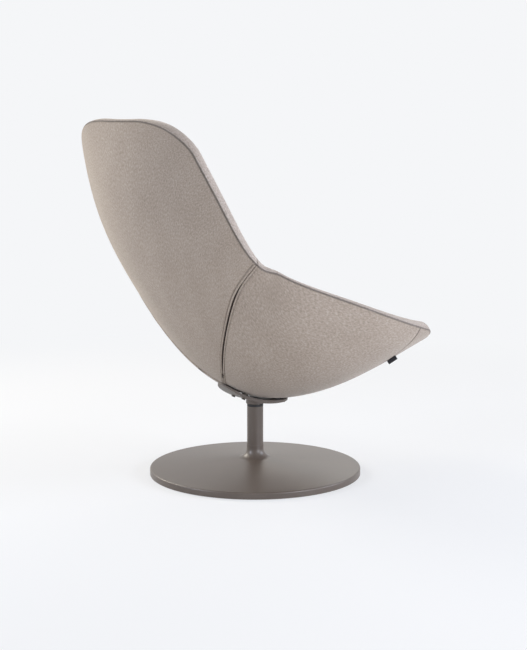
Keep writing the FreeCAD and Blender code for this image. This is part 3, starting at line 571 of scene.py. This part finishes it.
studio = {
    "background": "#f5f6f8", "ambient": 0.05, "floorGlow": 0.66, "fadeFrom": 1.1, "fadeTo": 2.6, "floorRadius": 9.0,
    "aim": (0, 0, 0.5),
    "lamps": {  # where it stands in metres, its side in metres, its power in watts, its colour
        "overhead": ((0.0, 0.2, 3.4), 2.6, 21, "#fffbf3"),
        "right": ((-2.3, -3.1, 1.7), 1.8, 109, "#e9f0ff"),
        "left": ((0.6, 3.9, 1.7), 1.8, 97, "#e9f0ff"),
        "frontRight": ((2.4, -2.6, 2.6), 1.8, 27, "#fffaf0"),
        "frontLeft": ((3.4, 1.2, 2.4), 1.8, 110, "#fff8ea"),
        "low": ((-3.6, -0.6, 0.9), 1.6, 77, "#f0f4ff"),
    },
}


def seenDirectly(tree):  # camera, glossy and transmission rays see the plain background
    path = addNode(tree, "ShaderNodeLightPath").outputs
    first = mathNode(tree, "MAXIMUM", path["Is Camera Ray"], path["Is Glossy Ray"])
    return mathNode(tree, "MAXIMUM", first, path["Is Transmission Ray"])


def buildStudio():
    world = bpy.data.worlds.new("studio")
    bpy.context.scene.world = world
    tree = emptyTree(world)
    shown = addNode(tree, "ShaderNodeBackground", Color=linear(studio["background"]), Strength=1.0)
    lighting = addNode(tree, "ShaderNodeBackground", Color=linear("#ffffff"), Strength=studio["ambient"])
    mix = addNode(tree, "ShaderNodeMixShader",
                  feeds={0: seenDirectly(tree), 1: lighting.outputs[0], 2: shown.outputs[0]})
    addNode(tree, "ShaderNodeOutputWorld", feeds={0: mix.outputs[0]})

    work = bmesh.new()
    bmesh.ops.create_circle(work, cap_ends=True, segments=96, radius=studio["floorRadius"])
    mesh = meshFrom(work, "floor")
    floor = addObject("floor", mesh)
    material = bpy.data.materials.new("paleFloor")
    tree = emptyTree(material)
    reach = addNode(tree, "ShaderNodeVectorMath", {"operation": "LENGTH"}, {0: objectPlace(tree)}).outputs["Value"]
    fade = addNode(tree, "ShaderNodeMapRange", {"interpolation_type": "SMOOTHSTEP"},
                   {"Value": reach, 1: studio["fadeFrom"], 2: studio["fadeTo"], 3: studio["floorGlow"], 4: 1.0})
    share = mathNode(tree, "MULTIPLY", fade.outputs[0], seenDirectly(tree))
    plain = addNode(tree, "ShaderNodeBsdfDiffuse", Color=linear(studio["background"]))
    glow = addNode(tree, "ShaderNodeEmission", Color=linear(studio["background"]), Strength=1.0)
    mix = addNode(tree, "ShaderNodeMixShader", feeds={0: share, 1: plain.outputs[0], 2: glow.outputs[0]})
    addNode(tree, "ShaderNodeOutputMaterial", feeds={0: mix.outputs[0]})
    mesh.materials.append(material)

    for name, (place, side, power, colour) in studio["lamps"].items():
        data = bpy.data.lights.new(name, "AREA")
        data.shape, data.size, data.energy, data.color = "DISK", side, power, linear(colour)[:3]
        lamp = addObject(name, data)
        lamp.location = place
        lamp.rotation_euler = (Vector(studio["aim"]) - Vector(place)).to_track_quat("-Z", "Y").to_euler()


bpy.context.scene.view_settings.view_transform = "Standard"
buildCamera()
buildStudio()
print("camera, floor and light set")


outerPanels = {
    "step": 7.0, "hemRadius": 2.2, "tuckDepth": 0.9, "tuckReach": 7.0, "foamDepth": 7.8,
    "lipWidth": 6.6, "lipHeight": 1.5, "lipFade": (2.0, 8.0), "slotRadius": 1.5,
    "grooveDepth": 1.5, "grooveWidth": 1.2, "grooveBehind": 0.8,
    "puckers": 0.5, "puckerAt": 6.0, "puckerReach": 9.0, "puckerTurns": (95.0, 95.0, 60.0),
    # painted shade in seams, grooves and the slot, and painted light on the zip lips (the negative share)
    "seamShade": 0.85, "seamReach": 2.6, "lipPaintedLight": -0.3, "grooveShade": 0.6, "slotShade": 0.5, "slotReach": 0.6,
    "backSpans": (0.36, 0.62), "sideSpans": (0.5, 0.33), "frontSpans": (0.6, 0.4),  # metres that the rows share out
    "sideTip": 0.006,
}


def seamDepth(distance):  # plain seam: rolled edge and a soft tuck behind it
    shape = outerPanels
    return (rolledIn(distance, shape["hemRadius"] * mm)
            + shape["tuckDepth"] * mm * np.exp(-distance / (shape["tuckReach"] * mm)))


def lipParts(distance):  # how far across the folded lip, and how deep in its stitched groove
    shape = outerPanels
    across = np.sin(np.clip(distance / (shape["lipWidth"] * mm), 0, 1) * math.pi)
    return across, bell(distance / mm, shape["lipWidth"] + shape["grooveBehind"], shape["grooveWidth"])


def lipDepth(distance):  # zip side of a panel: a proud folded lip with a stitched groove behind it
    shape = outerPanels
    across, groove = lipParts(distance)
    return (rolledIn(distance, shape["slotRadius"] * mm) - shape["lipHeight"] * mm * across ** 0.7
            + shape["grooveDepth"] * mm * groove)


def lipFade(distance):  # the lip runs out before the neighbouring seams
    low, high = outerPanels["lipFade"]
    return smoothStep(low * mm, high * mm, distance)


def seamPaintedShade(distance):  # painted shade, strongest deep in a plain seam
    return outerPanels["seamShade"] * bell(distance, 0, outerPanels["seamReach"] * mm)


def lipPaintedLightAndShade(distance):  # painted light on the proud lip, painted shade in the slot and in its stitched groove
    shape = outerPanels
    across, groove = lipParts(distance)
    return (shape["lipPaintedLight"] * across ** 0.5 + shape["grooveShade"] * groove
            + shape["slotShade"] * bell(distance / mm, 0, shape["slotReach"]))


def outerPanel(name, pairs, depth, paintedShadeAndLight):
    points = skin(pairs)
    outer = layerPoints(pairs, depth)
    inner = layerPoints(pairs, np.full(pairs.shape[:2], outerPanels["foamDepth"] * mm))
    return closedPanel(name, outer, inner, clothUv(points), outerCloth, wallRings=2, paintedShadeAndLight=paintedShadeAndLight)


def puckers(points, distance, seed):  # small pulls that start at a seam and fade behind it
    shape = outerPanels
    turns = points * np.array(shape["puckerTurns"])
    return (shape["puckers"] * mm * ripple(turns[..., 0] + turns[..., 2], turns[..., 1], seed)
            * bell(distance / mm, shape["puckerAt"], shape["puckerReach"]))


def buildBackPanel():
    acrossSpan, alongSpan = outerPanels["backSpans"]
    half = coons(lambda s: sideSeam(s, 1), rimPart(1, topMiddle),
                 lineBetween(sideSeam(0.0, 1), np.array([1.0, 0.0])), rimPart(rimPlace(sideSeam(1.0, 1)), topMiddle),
                 gradedShares(acrossSpan, outerPanels["step"], start=False),
                 gradedShares(alongSpan, outerPanels["step"]))
    pairs = np.concatenate([half[:, :0:-1] * otherSide, half], 1)
    points = skin(pairs)
    front, rear, right, left = edgeDistances(points)
    edge = np.minimum(np.minimum(rear, right), left)
    depth = seamDepth(edge) + lipDepth(front) * lipFade(edge) + puckers(points, front, 3)
    piece = outerPanel("backPanel", pairs, depth, np.maximum(seamPaintedShade(edge), lipPaintedLightAndShade(front)))
    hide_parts("outer_cover_back", "outer_foam_back")
    return piece


def buildSidePanel(name, side):
    tip, step = outerPanels["sideTip"], outerPanels["step"]
    acrossSpan, alongSpan = outerPanels["sideSpans"]
    pairs = coons(lambda s: frontSeam(1 - s, 1), lambda s: sideSeam(tip + (1 - tip) * s, -1),
                  lineBetween(frontSeam(1.0, 1), sideSeam(tip, -1)),
                  rimPart(rimPlace(frontSeam(0.0, 1)), rimPlace(sideSeam(1.0, -1))),
                  gradedShares(acrossSpan, step), gradedShares(alongSpan, step))
    if side < 0:
        pairs = pairs[:, ::-1] * otherSide
    points = skin(pairs)
    front, rear, right, left = edgeDistances(points)
    rimSide, centreSide = (left, right) if side > 0 else (right, left)
    edge = np.minimum(front, rimSide)
    depth = (seamDepth(edge) + seamDepth(centreSide) + lipDepth(rear) * lipFade(edge)
             + puckers(points, rear, 5))
    return outerPanel(name, pairs, depth, np.maximum(seamPaintedShade(edge), lipPaintedLightAndShade(rear)))


def buildFrontPanel():
    across, along = [gradedShares(span, outerPanels["step"]) for span in outerPanels["frontSpans"]]
    pairs = coons(roundFront(rimPlace(frontSeam(0.0, -1))),
                  lineBetween(frontSeam(1.0, -1) * otherSide, frontSeam(1.0, -1)),
                  lambda s: frontSeam(s, -1) * otherSide, lambda s: frontSeam(s, -1), across, along)
    edge = np.minimum.reduce(edgeDistances(skin(pairs)))
    return outerPanel("frontPanel", pairs, seamDepth(edge), seamPaintedShade(edge))


backPanel = buildBackPanel()
leftPanel = buildSidePanel("leftPanel", 1)
rightPanel = buildSidePanel("rightPanel", -1)
frontPanel = buildFrontPanel()
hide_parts("outer_cover_left")
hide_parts("outer_cover_right")
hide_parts("outer_cover_front", "outer_foam_seat")
for piece in (backPanel, leftPanel, rightPanel, frontPanel):
    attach(piece, "seat")
print("outer panels sewn")


rimBand = {
    "steps": 30, "stations": 260, "wall": 2.2, "hemRound": 2.6, "bulge": 2.9, "edgeDepth": 1.6, "gap": 0.5,
    "waveHeight": 0.12, "waveTurns": (40.0, 120.0), "weltWidth": 5.0, "weltGroove": 0.6, "weltSize": 1.1,
    # painted shade at the band's hems and in its stitched welt
    "seamShade": 0.85, "seamReach": 1.6, "weltShade": 0.35,
}


def buildBand(name, edge, turn):
    shape = rimBand
    pairs = evenly(edge, np.linspace(0, 1, shape["stations"] + 1))
    foot, normal, depth = skin(pairs), inward(pairs), sitting(pairs)
    out = unit(np.cross(unit(np.gradient(foot, axis=0)), normal)) * turn
    part = 0.5 - 0.5 * np.cos(np.linspace(0, math.pi, shape["steps"] + 1))  # closer rows at both hems
    low = shape["edgeDepth"] * mm
    width = depth[:, None] - 2 * low
    short = 1 - np.clip(np.minimum(part, 1 - part) * width / (shape["hemRound"] * mm), 0, 1)
    swell = (shape["wall"] * np.clip(1 - short ** 2, 0, 1) ** 0.5 + shape["bulge"] * np.sin(math.pi * part)) * mm
    level = low + part * width
    travelled = travelledAlong(foot)[:, None]
    welt = bell((level - low) / mm, shape["weltWidth"], shape["weltSize"])  # stitched line beside the seam
    turns = shape["waveTurns"]
    wave = (shape["waveHeight"] * mm * ripple(travelled * turns[0], level * turns[1], 11) * np.sin(math.pi * part)
            - shape["weltGroove"] * mm * welt)
    gap = shape["gap"] * mm
    inner = foot[:, None] + normal[:, None] * level[..., None] + out[:, None] * gap
    outer = inner + out[:, None] * (swell + wave)[..., None]
    uv = np.stack([level, travelled + 0 * level], -1)
    # painted shade along both hems and in the welt groove
    hem = bell(np.minimum(part, 1 - part) * depth[:, None], 0, shape["seamReach"] * mm)
    paintedShadeAndLight = np.maximum(shape["seamShade"] * hem, shape["weltShade"] * welt)
    piece = closedPanel(name, outer, inner, uv, innerClothPaintedLight, paintedShadeAndLight=paintedShadeAndLight)
    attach(piece, "seat")
    return piece


backLow, seatHigh = [rimPlace(innerSeam(1.0, side)) for side in (1, -1)]
seatBand = buildBand("seatBand", roundFront(seatHigh), 1)
backBand = buildBand("backBand", roundTop(backLow), -1)
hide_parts("rim_band_seat")
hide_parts("rim_band_back")
print("rim bands sewn")


padding = {
    "step": 8.0, "foot": 20.9, "hemRadius": 5.0, "tuckDepth": 2.2, "tuckReach": 16.0, "heldEdge": 3.0,
    "acrossSpan": 0.72, "backSpan": 0.52, "seatSpan": 0.55,  # metres that the rows share out
    "pressure": 4.0, "frames": 20, "cap": 5.0, "slack": 0.012, "stiffness": 25, "bending": 0.8, "mass": 0.3,
}


def inflate(piece, held):  # cloth under pressure, its seams and its underside held
    group = piece.vertex_groups.new(name="held")
    for index in np.nonzero(held > 0)[0]:
        group.add([int(index)], float(held[index]), "REPLACE")
    start = np.zeros(len(piece.data.vertices) * 3)
    piece.data.vertices.foreach_get("co", start)
    cloth = piece.modifiers.new("cloth", "CLOTH")
    settings = cloth.settings
    settings.vertex_group_mass = "held"
    settings.use_pressure, settings.uniform_pressure_force = True, padding["pressure"]
    settings.effector_weights.gravity = 0
    settings.quality, settings.mass = 5, padding["mass"]
    settings.shrink_min = -padding["slack"]
    settings.tension_stiffness = settings.compression_stiffness = padding["stiffness"]
    settings.bending_stiffness = padding["bending"]
    cloth.point_cache.frame_start, cloth.point_cache.frame_end = 1, padding["frames"]
    scene = bpy.context.scene
    for number in range(1, padding["frames"] + 1):
        scene.frame_set(number)
        bpy.context.view_layer.update()
    graph = bpy.context.evaluated_depsgraph_get()
    result = piece.evaluated_get(graph).to_mesh()
    moved = np.zeros(len(piece.data.vertices) * 3)
    result.vertices.foreach_get("co", moved)
    piece.evaluated_get(graph).to_mesh_clear()
    piece.modifiers.clear()
    shift = (moved - start).reshape(-1, 3)
    length = np.linalg.norm(shift, axis=1, keepdims=True)
    cap = padding["cap"] * mm
    shift *= np.where(length > 0, cap * np.tanh(length / cap) / np.maximum(length, 1e-9), 0)
    piece.data.vertices.foreach_set("co", start + shift.ravel())
    piece.data.update()
    scene.frame_set(1)
    print(piece.name, "swelled by up to", round(float(length.max()) * 1000, 1), "mm")


def buildPad(name, pairs):
    points = skin(pairs)
    top = sitting(pairs)
    upper = layerPoints(pairs, top)
    edge = np.minimum.reduce(edgeDistances(upper))
    drop = (rolledIn(edge, padding["hemRadius"] * mm)
            + padding["tuckDepth"] * mm * np.exp(-edge / (padding["tuckReach"] * mm)))
    outer = layerPoints(pairs, top - drop)
    inner = layerPoints(pairs, np.full(pairs.shape[:2], padding["foot"] * mm))
    # painted shade along the pad's hems
    piece = closedPanel(name, outer, inner, clothUv(points), innerClothPaintedLight, wallRings=3, paintedShadeAndLight=seamPaintedShade(edge))
    rows, columns = pairs.shape[:2]
    held = np.ones(len(piece.data.vertices))
    held[:rows * columns] = (edge < padding["heldEdge"] * mm).ravel()
    inflate(piece, held)
    soft = piece.modifiers.new("soft", "SUBSURF")
    soft.levels = soft.render_levels = 1
    finished(piece)
    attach(piece, "seat")
    return piece


def buildPads():
    across, backRows, seatRows = [gradedShares(padding[key], padding["step"])
                                  for key in ("acrossSpan", "backSpan", "seatSpan")]
    back = coons(lambda s: innerSeam(2 * s - 1, 1), roundTop(topMiddle), rimPart(-backLow, -topMiddle),
                 rimPart(backLow, topMiddle), across, backRows)
    seat = coons(roundFront(frontMiddle), lambda s: innerSeam(2 * s - 1, -1), rimPart(-frontMiddle, -seatHigh),
                 rimPart(frontMiddle, seatHigh), across, seatRows)
    backPad = buildPad("backPad", back)
    seatPad = buildPad("seatPad", seat)
    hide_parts("inner_cover_back", "back_foam")
    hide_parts("inner_cover_seat", "seat_foam")


buildPads()
print("pads filled")


pathInputs = {"Path": "Geometry", "Shape": "Object", "Spacing": "Float", "Side step": "Float",
              "Size spread": "Float", "Seed": "Int", "Material": "Material"}


def alongPathTree():
    # Sets a small shape at even steps along a path, its top towards the path's own outward direction,
    # every second one moved to the other side
    tree = bpy.data.node_groups.new("alongPath", "GeometryNodeTree")
    tree.interface.new_socket("Geometry", in_out="OUTPUT", socket_type="NodeSocketGeometry")
    for key, kind in pathInputs.items():
        tree.interface.new_socket(key, in_out="INPUT", socket_type="NodeSocket" + kind)
    given = tree.nodes.new("NodeGroupInput").outputs
    curve = addNode(tree, "GeometryNodeMeshToCurve", feeds={"Mesh": given["Path"]})
    points = addNode(tree, "GeometryNodeResampleCurve", {"mode": "LENGTH"},
                     {"Curve": curve.outputs[0], "Length": given["Spacing"]})
    ahead = addNode(tree, "GeometryNodeInputTangent")
    out = addNode(tree, "GeometryNodeInputNamedAttribute", {"data_type": "FLOAT_VECTOR"}, {"Name": "outward"})
    turn = addNode(tree, "FunctionNodeAxesToRotation", {"primary_axis": "X", "secondary_axis": "Z"},
                   {"Primary Axis": ahead.outputs[0], "Secondary Axis": out.outputs["Attribute"]})
    shape = addNode(tree, "GeometryNodeObjectInfo", feeds={"Object": given["Shape"]})
    order = addNode(tree, "GeometryNodeInputIndex")
    sign = mathNode(tree, "MULTIPLY_ADD", mathNode(tree, "MODULO", order.outputs[0], 2.0), 2.0, -1.0)
    step = addNode(tree, "ShaderNodeCombineXYZ", feeds={"Y": mathNode(tree, "MULTIPLY", sign, given["Side step"])})
    spread = addNode(tree, "FunctionNodeRandomValue", {"data_type": "FLOAT"},
                     {"Seed": given["Seed"], 2: mathNode(tree, "SUBTRACT", 1.0, given["Size spread"]), 3: 1.0})
    placed = addNode(tree, "GeometryNodeInstanceOnPoints",
                     feeds={"Points": points.outputs[0], "Instance": shape.outputs["Geometry"],
                            "Rotation": turn.outputs[0], "Scale": spread.outputs[1]})
    moved = addNode(tree, "GeometryNodeTranslateInstances",
                    feeds={"Instances": placed.outputs[0], "Translation": step.outputs[0]})
    real = addNode(tree, "GeometryNodeRealizeInstances", feeds={0: moved.outputs[0]})
    dressed = addNode(tree, "GeometryNodeSetMaterial",
                      feeds={"Geometry": real.outputs[0], "Material": given["Material"]})
    addNode(tree, "NodeGroupOutput", feeds={0: dressed.outputs[0]})
    return tree


alongPath = alongPathTree()


def pathObject(name, points, outward):
    mesh = bpy.data.meshes.new(name)
    mesh.from_pydata([tuple(p) for p in points], [(i, i + 1) for i in range(len(points) - 1)], [])
    attribute = mesh.attributes.new("outward", "FLOAT_VECTOR", "POINT")
    attribute.data.foreach_set("vector", np.asarray(outward, float).ravel())
    return addObject(name, mesh)


def repeatAlong(name, points, outward, shape, spacing, sideStep, spread, seed, material):
    item = pathObject(name, points, outward)
    modifier = item.modifiers.new("alongPath", "NODES")
    modifier.node_group = alongPath
    wanted = {"Shape": shape, "Spacing": spacing * mm, "Side step": sideStep * mm,
              "Size spread": spread, "Seed": seed, "Material": material}
    for socket in alongPath.interface.items_tree:
        if getattr(socket, "in_out", "") == "INPUT" and socket.name in wanted:
            modifier[socket.identifier] = wanted[socket.name]
    return finished(item)


def roundedBlock(name, size, bevel, taper):  # a soft block, its foot at zero height
    work = bmesh.new()
    bmesh.ops.create_cube(work, size=1.0)
    for vertex in work.verts:
        narrow = taper if vertex.co.z > 0 else 1.0
        x, y, z = vertex.co
        vertex.co = Vector((x * size[0] * narrow, y * size[1] * narrow, (z + 0.5) * size[2])) * mm
    bmesh.ops.bevel(work, geom=list(work.edges), offset=bevel * mm, segments=1, affect="EDGES", profile=0.5)
    item = addObject(name, meshFrom(work, name))
    item.hide_render = item.hide_viewport = True
    return item


zips = {
    "toothPitch": 1.25, "tooth": (0.95, 2.1, 1.2), "toothBevel": 0.28, "toothTaper": 0.8, "toothSide": 0.6,
    "tapeHalf": 2.2, "tapeEnd": 0.15, "tapeDepth": 2.25, "tapeThick": 0.5, "margin": 0.085,
    "sliderPlace": 0.12, "sliderDepth": 0.1, "slider": (11.0, 7.2, 2.6), "bodySquare": 0.6, "bevel": 0.25,
    "waist": 0.9, "waistFrom": -0.3, "bridge": (3.4, 1.1),
    "pull": (16.0, 5.0, 1.0), "pullNarrow": 0.75, "pullSquare": 0.5,
    "layers": ((0.75, 0.0), (0.45, 0.7), (0.9, 0.98)),  # height and foot of body, bridge and pull, as shares
}
stitches = {
    "pitch": 4.2, "stitch": (2.9, 0.75, 0.55), "bevel": 0.24, "taper": 0.75, "spread": 0.12,
    "span": (0.05, 0.985), "lineFromSlot": 7.4, "depth": 0.55,
}

tooth = roundedBlock("toothShape", zips["tooth"], zips["toothBevel"], zips["toothTaper"])
stitch = roundedBlock("stitchShape", stitches["stitch"], stitches["bevel"], stitches["taper"])


def mirrorX(values, side):
    return values * np.array([side, 1, 1]) if side < 0 else values


def lineOn(pairs, depth, side):  # points and outward directions of a line in the cloth
    return mirrorX(layerPoints(pairs, depth * mm), side), mirrorX(-inward(pairs), side)


def buildZip(word, side):
    start, end = seatShape["zipSpan"]
    place = np.linspace(start, end, 90)
    low, high = [sideSeam(place, s, gap=zips["tapeHalf"] * zipWindow(place) + zips["tapeEnd"]) for s in (-1, 1)]
    pairs = np.stack([low, (low + high) / 2, high], 1)
    outer, inner = [mirrorX(layerPoints(pairs, (zips["tapeDepth"] + thick) * mm), side)
                    for thick in (0, zips["tapeThick"])]
    tape = closedPanel("zipTape" + word, outer, inner, clothUv(skin(pairs)), zipCloth)
    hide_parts("zip_tape_" + word.lower())
    middle = sideSeam(np.linspace(start + zips["margin"], end - zips["margin"], 120))
    chain = repeatAlong("zipTeeth" + word, *lineOn(middle, zips["tapeDepth"], side), tooth,
                        zips["toothPitch"], zips["toothSide"], 0.0, 1, zipMetal)
    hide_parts("zip_chain_" + word.lower())
    slider = buildSlider(word, side)
    for piece in (tape, chain, slider):
        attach(piece, "seat")


def solidOutline(points, height, foot, matrix):  # flat outline, made solid with soft edges
    work = bmesh.new()
    base = work.faces.new([work.verts.new((x * mm, y * mm, foot * mm)) for x, y in points])
    lifted = bmesh.ops.extrude_face_region(work, geom=[base])["geom"]
    bmesh.ops.translate(work, verts=[v for v in lifted if isinstance(v, bmesh.types.BMVert)], vec=(0, 0, height * mm))
    bmesh.ops.recalc_face_normals(work, faces=work.faces)
    flatEdges = [e for e in work.edges if abs(e.verts[0].co.z - e.verts[1].co.z) < 1e-7]
    bmesh.ops.bevel(work, geom=flatEdges, offset=zips["bevel"] * mm, segments=3, affect="EDGES", profile=0.5)
    bmesh.ops.transform(work, matrix=matrix, verts=work.verts)
    if matrix.determinant() < 0:
        bmesh.ops.reverse_faces(work, faces=work.faces)
    return meshFrom(work, "part")


def seamMatrix(place, depth, side):
    here = sideSeam(np.array([place]))
    ends = skin(sideSeam(np.array([place - seamStep, place + seamStep])))
    ahead = unit(ends[1] - ends[0])
    out = -inward(here)[0]
    across = unit(np.cross(out, ahead))
    ahead = np.cross(across, out)
    spot = layerPoints(here, depth * mm)[0]
    matrix = Matrix([[ahead[i], across[i], out[i], spot[i]] for i in range(3)] + [[0, 0, 0, 1]])
    return Matrix.Scale(-1, 4, Vector((1, 0, 0))) @ matrix if side < 0 else matrix


def squarer(value, power):  # a power below 1 squares a round outline
    return math.copysign(abs(value) ** power, value)


def joinedPiece(name, meshes, material):
    work = bmesh.new()
    for mesh in meshes:
        work.from_mesh(mesh)
    joined = meshFrom(work, name)
    joined.materials.append(material)
    return addObject(name, joined)


def buildSlider(word, side):
    long, wide, high = zips["slider"]
    reach, pullWide, pullHigh = zips["pull"]
    narrow, square, pullSquare = zips["pullNarrow"], zips["bodySquare"], zips["pullSquare"]
    matrix = seamMatrix(zips["sliderPlace"], zips["sliderDepth"], side)
    turns = [(math.cos(math.radians(a)), math.sin(math.radians(a))) for a in range(0, 360, 12)]
    body = [(long / 2 * squarer(x, square),
             (wide / 2 - (zips["waist"] if x < zips["waistFrom"] else 0)) * squarer(y, square)) for x, y in turns]
    pull = [(-reach / 2 + reach / 2 * squarer(x, pullSquare),
             pullWide / 2 * (1 if x < 0 else narrow) * squarer(y, pullSquare)) for x, y in turns]
    bridge = [(zips["bridge"][0] * x, zips["bridge"][1] * y) for x, y in turns]
    meshes = [solidOutline(points, thick * height, high * foot, matrix) for points, thick, (height, foot)
              in zip((body, bridge, pull), (high, high, pullHigh), zips["layers"])]
    slider = joinedPiece("zipSlider" + word, meshes, zipMetal)
    for mesh in meshes:
        bpy.data.meshes.remove(mesh)
    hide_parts("zip_slider_" + word.lower())
    return slider


def buildStitches(word, side):
    lines = []
    place = np.linspace(*stitches["span"], 160)
    for sign in (-1, 1):
        pairs = sideSeam(place, sign, gap=halfSlot(place) + stitches["lineFromSlot"])
        lines.append(repeatAlong("line", *lineOn(pairs, stitches["depth"], side), stitch,
                                 stitches["pitch"], 0.0, stitches["spread"], 7 + sign, sewingThread))
    piece = joinedPiece("zipStitches" + word, [line.data for line in lines], sewingThread)
    smoothShaded(piece.data)
    for line in lines:
        bpy.data.objects.remove(line)
    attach(piece, "seat")


for word, side in (("Left", 1), ("Right", -1)):
    buildZip(word, side)
    buildStitches(word, side)
for item in (tooth, stitch):
    bpy.data.objects.remove(item)
print("zips and stitches made")


seamTab = {
    "place": 0.408, "width": 29.0, "drop": 12.5, "stiffening": 0.225, "lift": 0.3, "bend": 0.5, "foldRadius": 0.7,
    "foldFrom": 9, "bendReach": 13, "innerShare": 0.8,
    "front": ((0.2, 0.35), (4, 0.42), (8, 0.55)), "rear": ((8, -0.5), (4, -0.38), (0.2, -0.3)),
}


def buildTab():
    shape = seamTab
    pair = frontSeam(np.array([shape["place"]])) * otherSide
    foot, out = skin(pair)[0], -inward(pair)[0]
    ends = skin(frontSeam(shape["place"] + np.array([-seamStep, seamStep])) * otherSide)
    ahead = unit(ends[1] - ends[0])
    thickness = unit(np.cross(ahead, out))
    top, radius = shape["drop"] - shape["foldRadius"], shape["foldRadius"]
    over = [(top + radius * math.sin(a), 0.5 * math.cos(a)) for a in np.linspace(0, math.pi, 9)]
    section = [*shape["front"], *over, *shape["rear"]]  # up one side of the ribbon, round the fold, down the other
    across = np.linspace(-0.5, 0.5, 9)
    outer, inner = [], []
    for x in across:
        bend = shape["bend"] * (2 * x) ** 2
        for group, thin in ((outer, 0.0), (inner, shape["stiffening"])):
            group.append([foot + (ahead * x * shape["width"]
                                  + out * (z + shape["lift"] - thin * (z > shape["foldFrom"]))
                                  + thickness * (t * (1 - thin * shape["innerShare"]) + bend * z / shape["bendReach"])
                                  ) * mm for z, t in section])
    outer, inner = np.array(outer), np.array(inner)
    uv = np.stack(np.meshgrid(np.arange(len(section)), np.arange(len(across))), -1) * mm
    piece = closedPanel("seamTab", outer, inner, uv, tabRibbon)
    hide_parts("seam_tab")
    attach(piece, "seat")


buildTab()
print("tab sewn in")


finishes = {
    "painted_steel": paint, "plain_steel": plainSteel, "zinc_steel": zincSteelPaintedShade, "black_polymer": blackPolymer,
    "plywood": plywood, "foam": foam, "outer_cloth": outerCloth, "inner_cloth": innerClothPaintedLight,
    "zip_tape": zipCloth, "zip_metal": zipMetal, "tab_cloth": tabRibbon,
}
for part in frame["record"]["subparts"]:
    node = frame["nodes"][part["node"]]
    node.data.materials.clear()
    node.data.materials.append(finishes[part["material_slot"]])
print("finishes given")
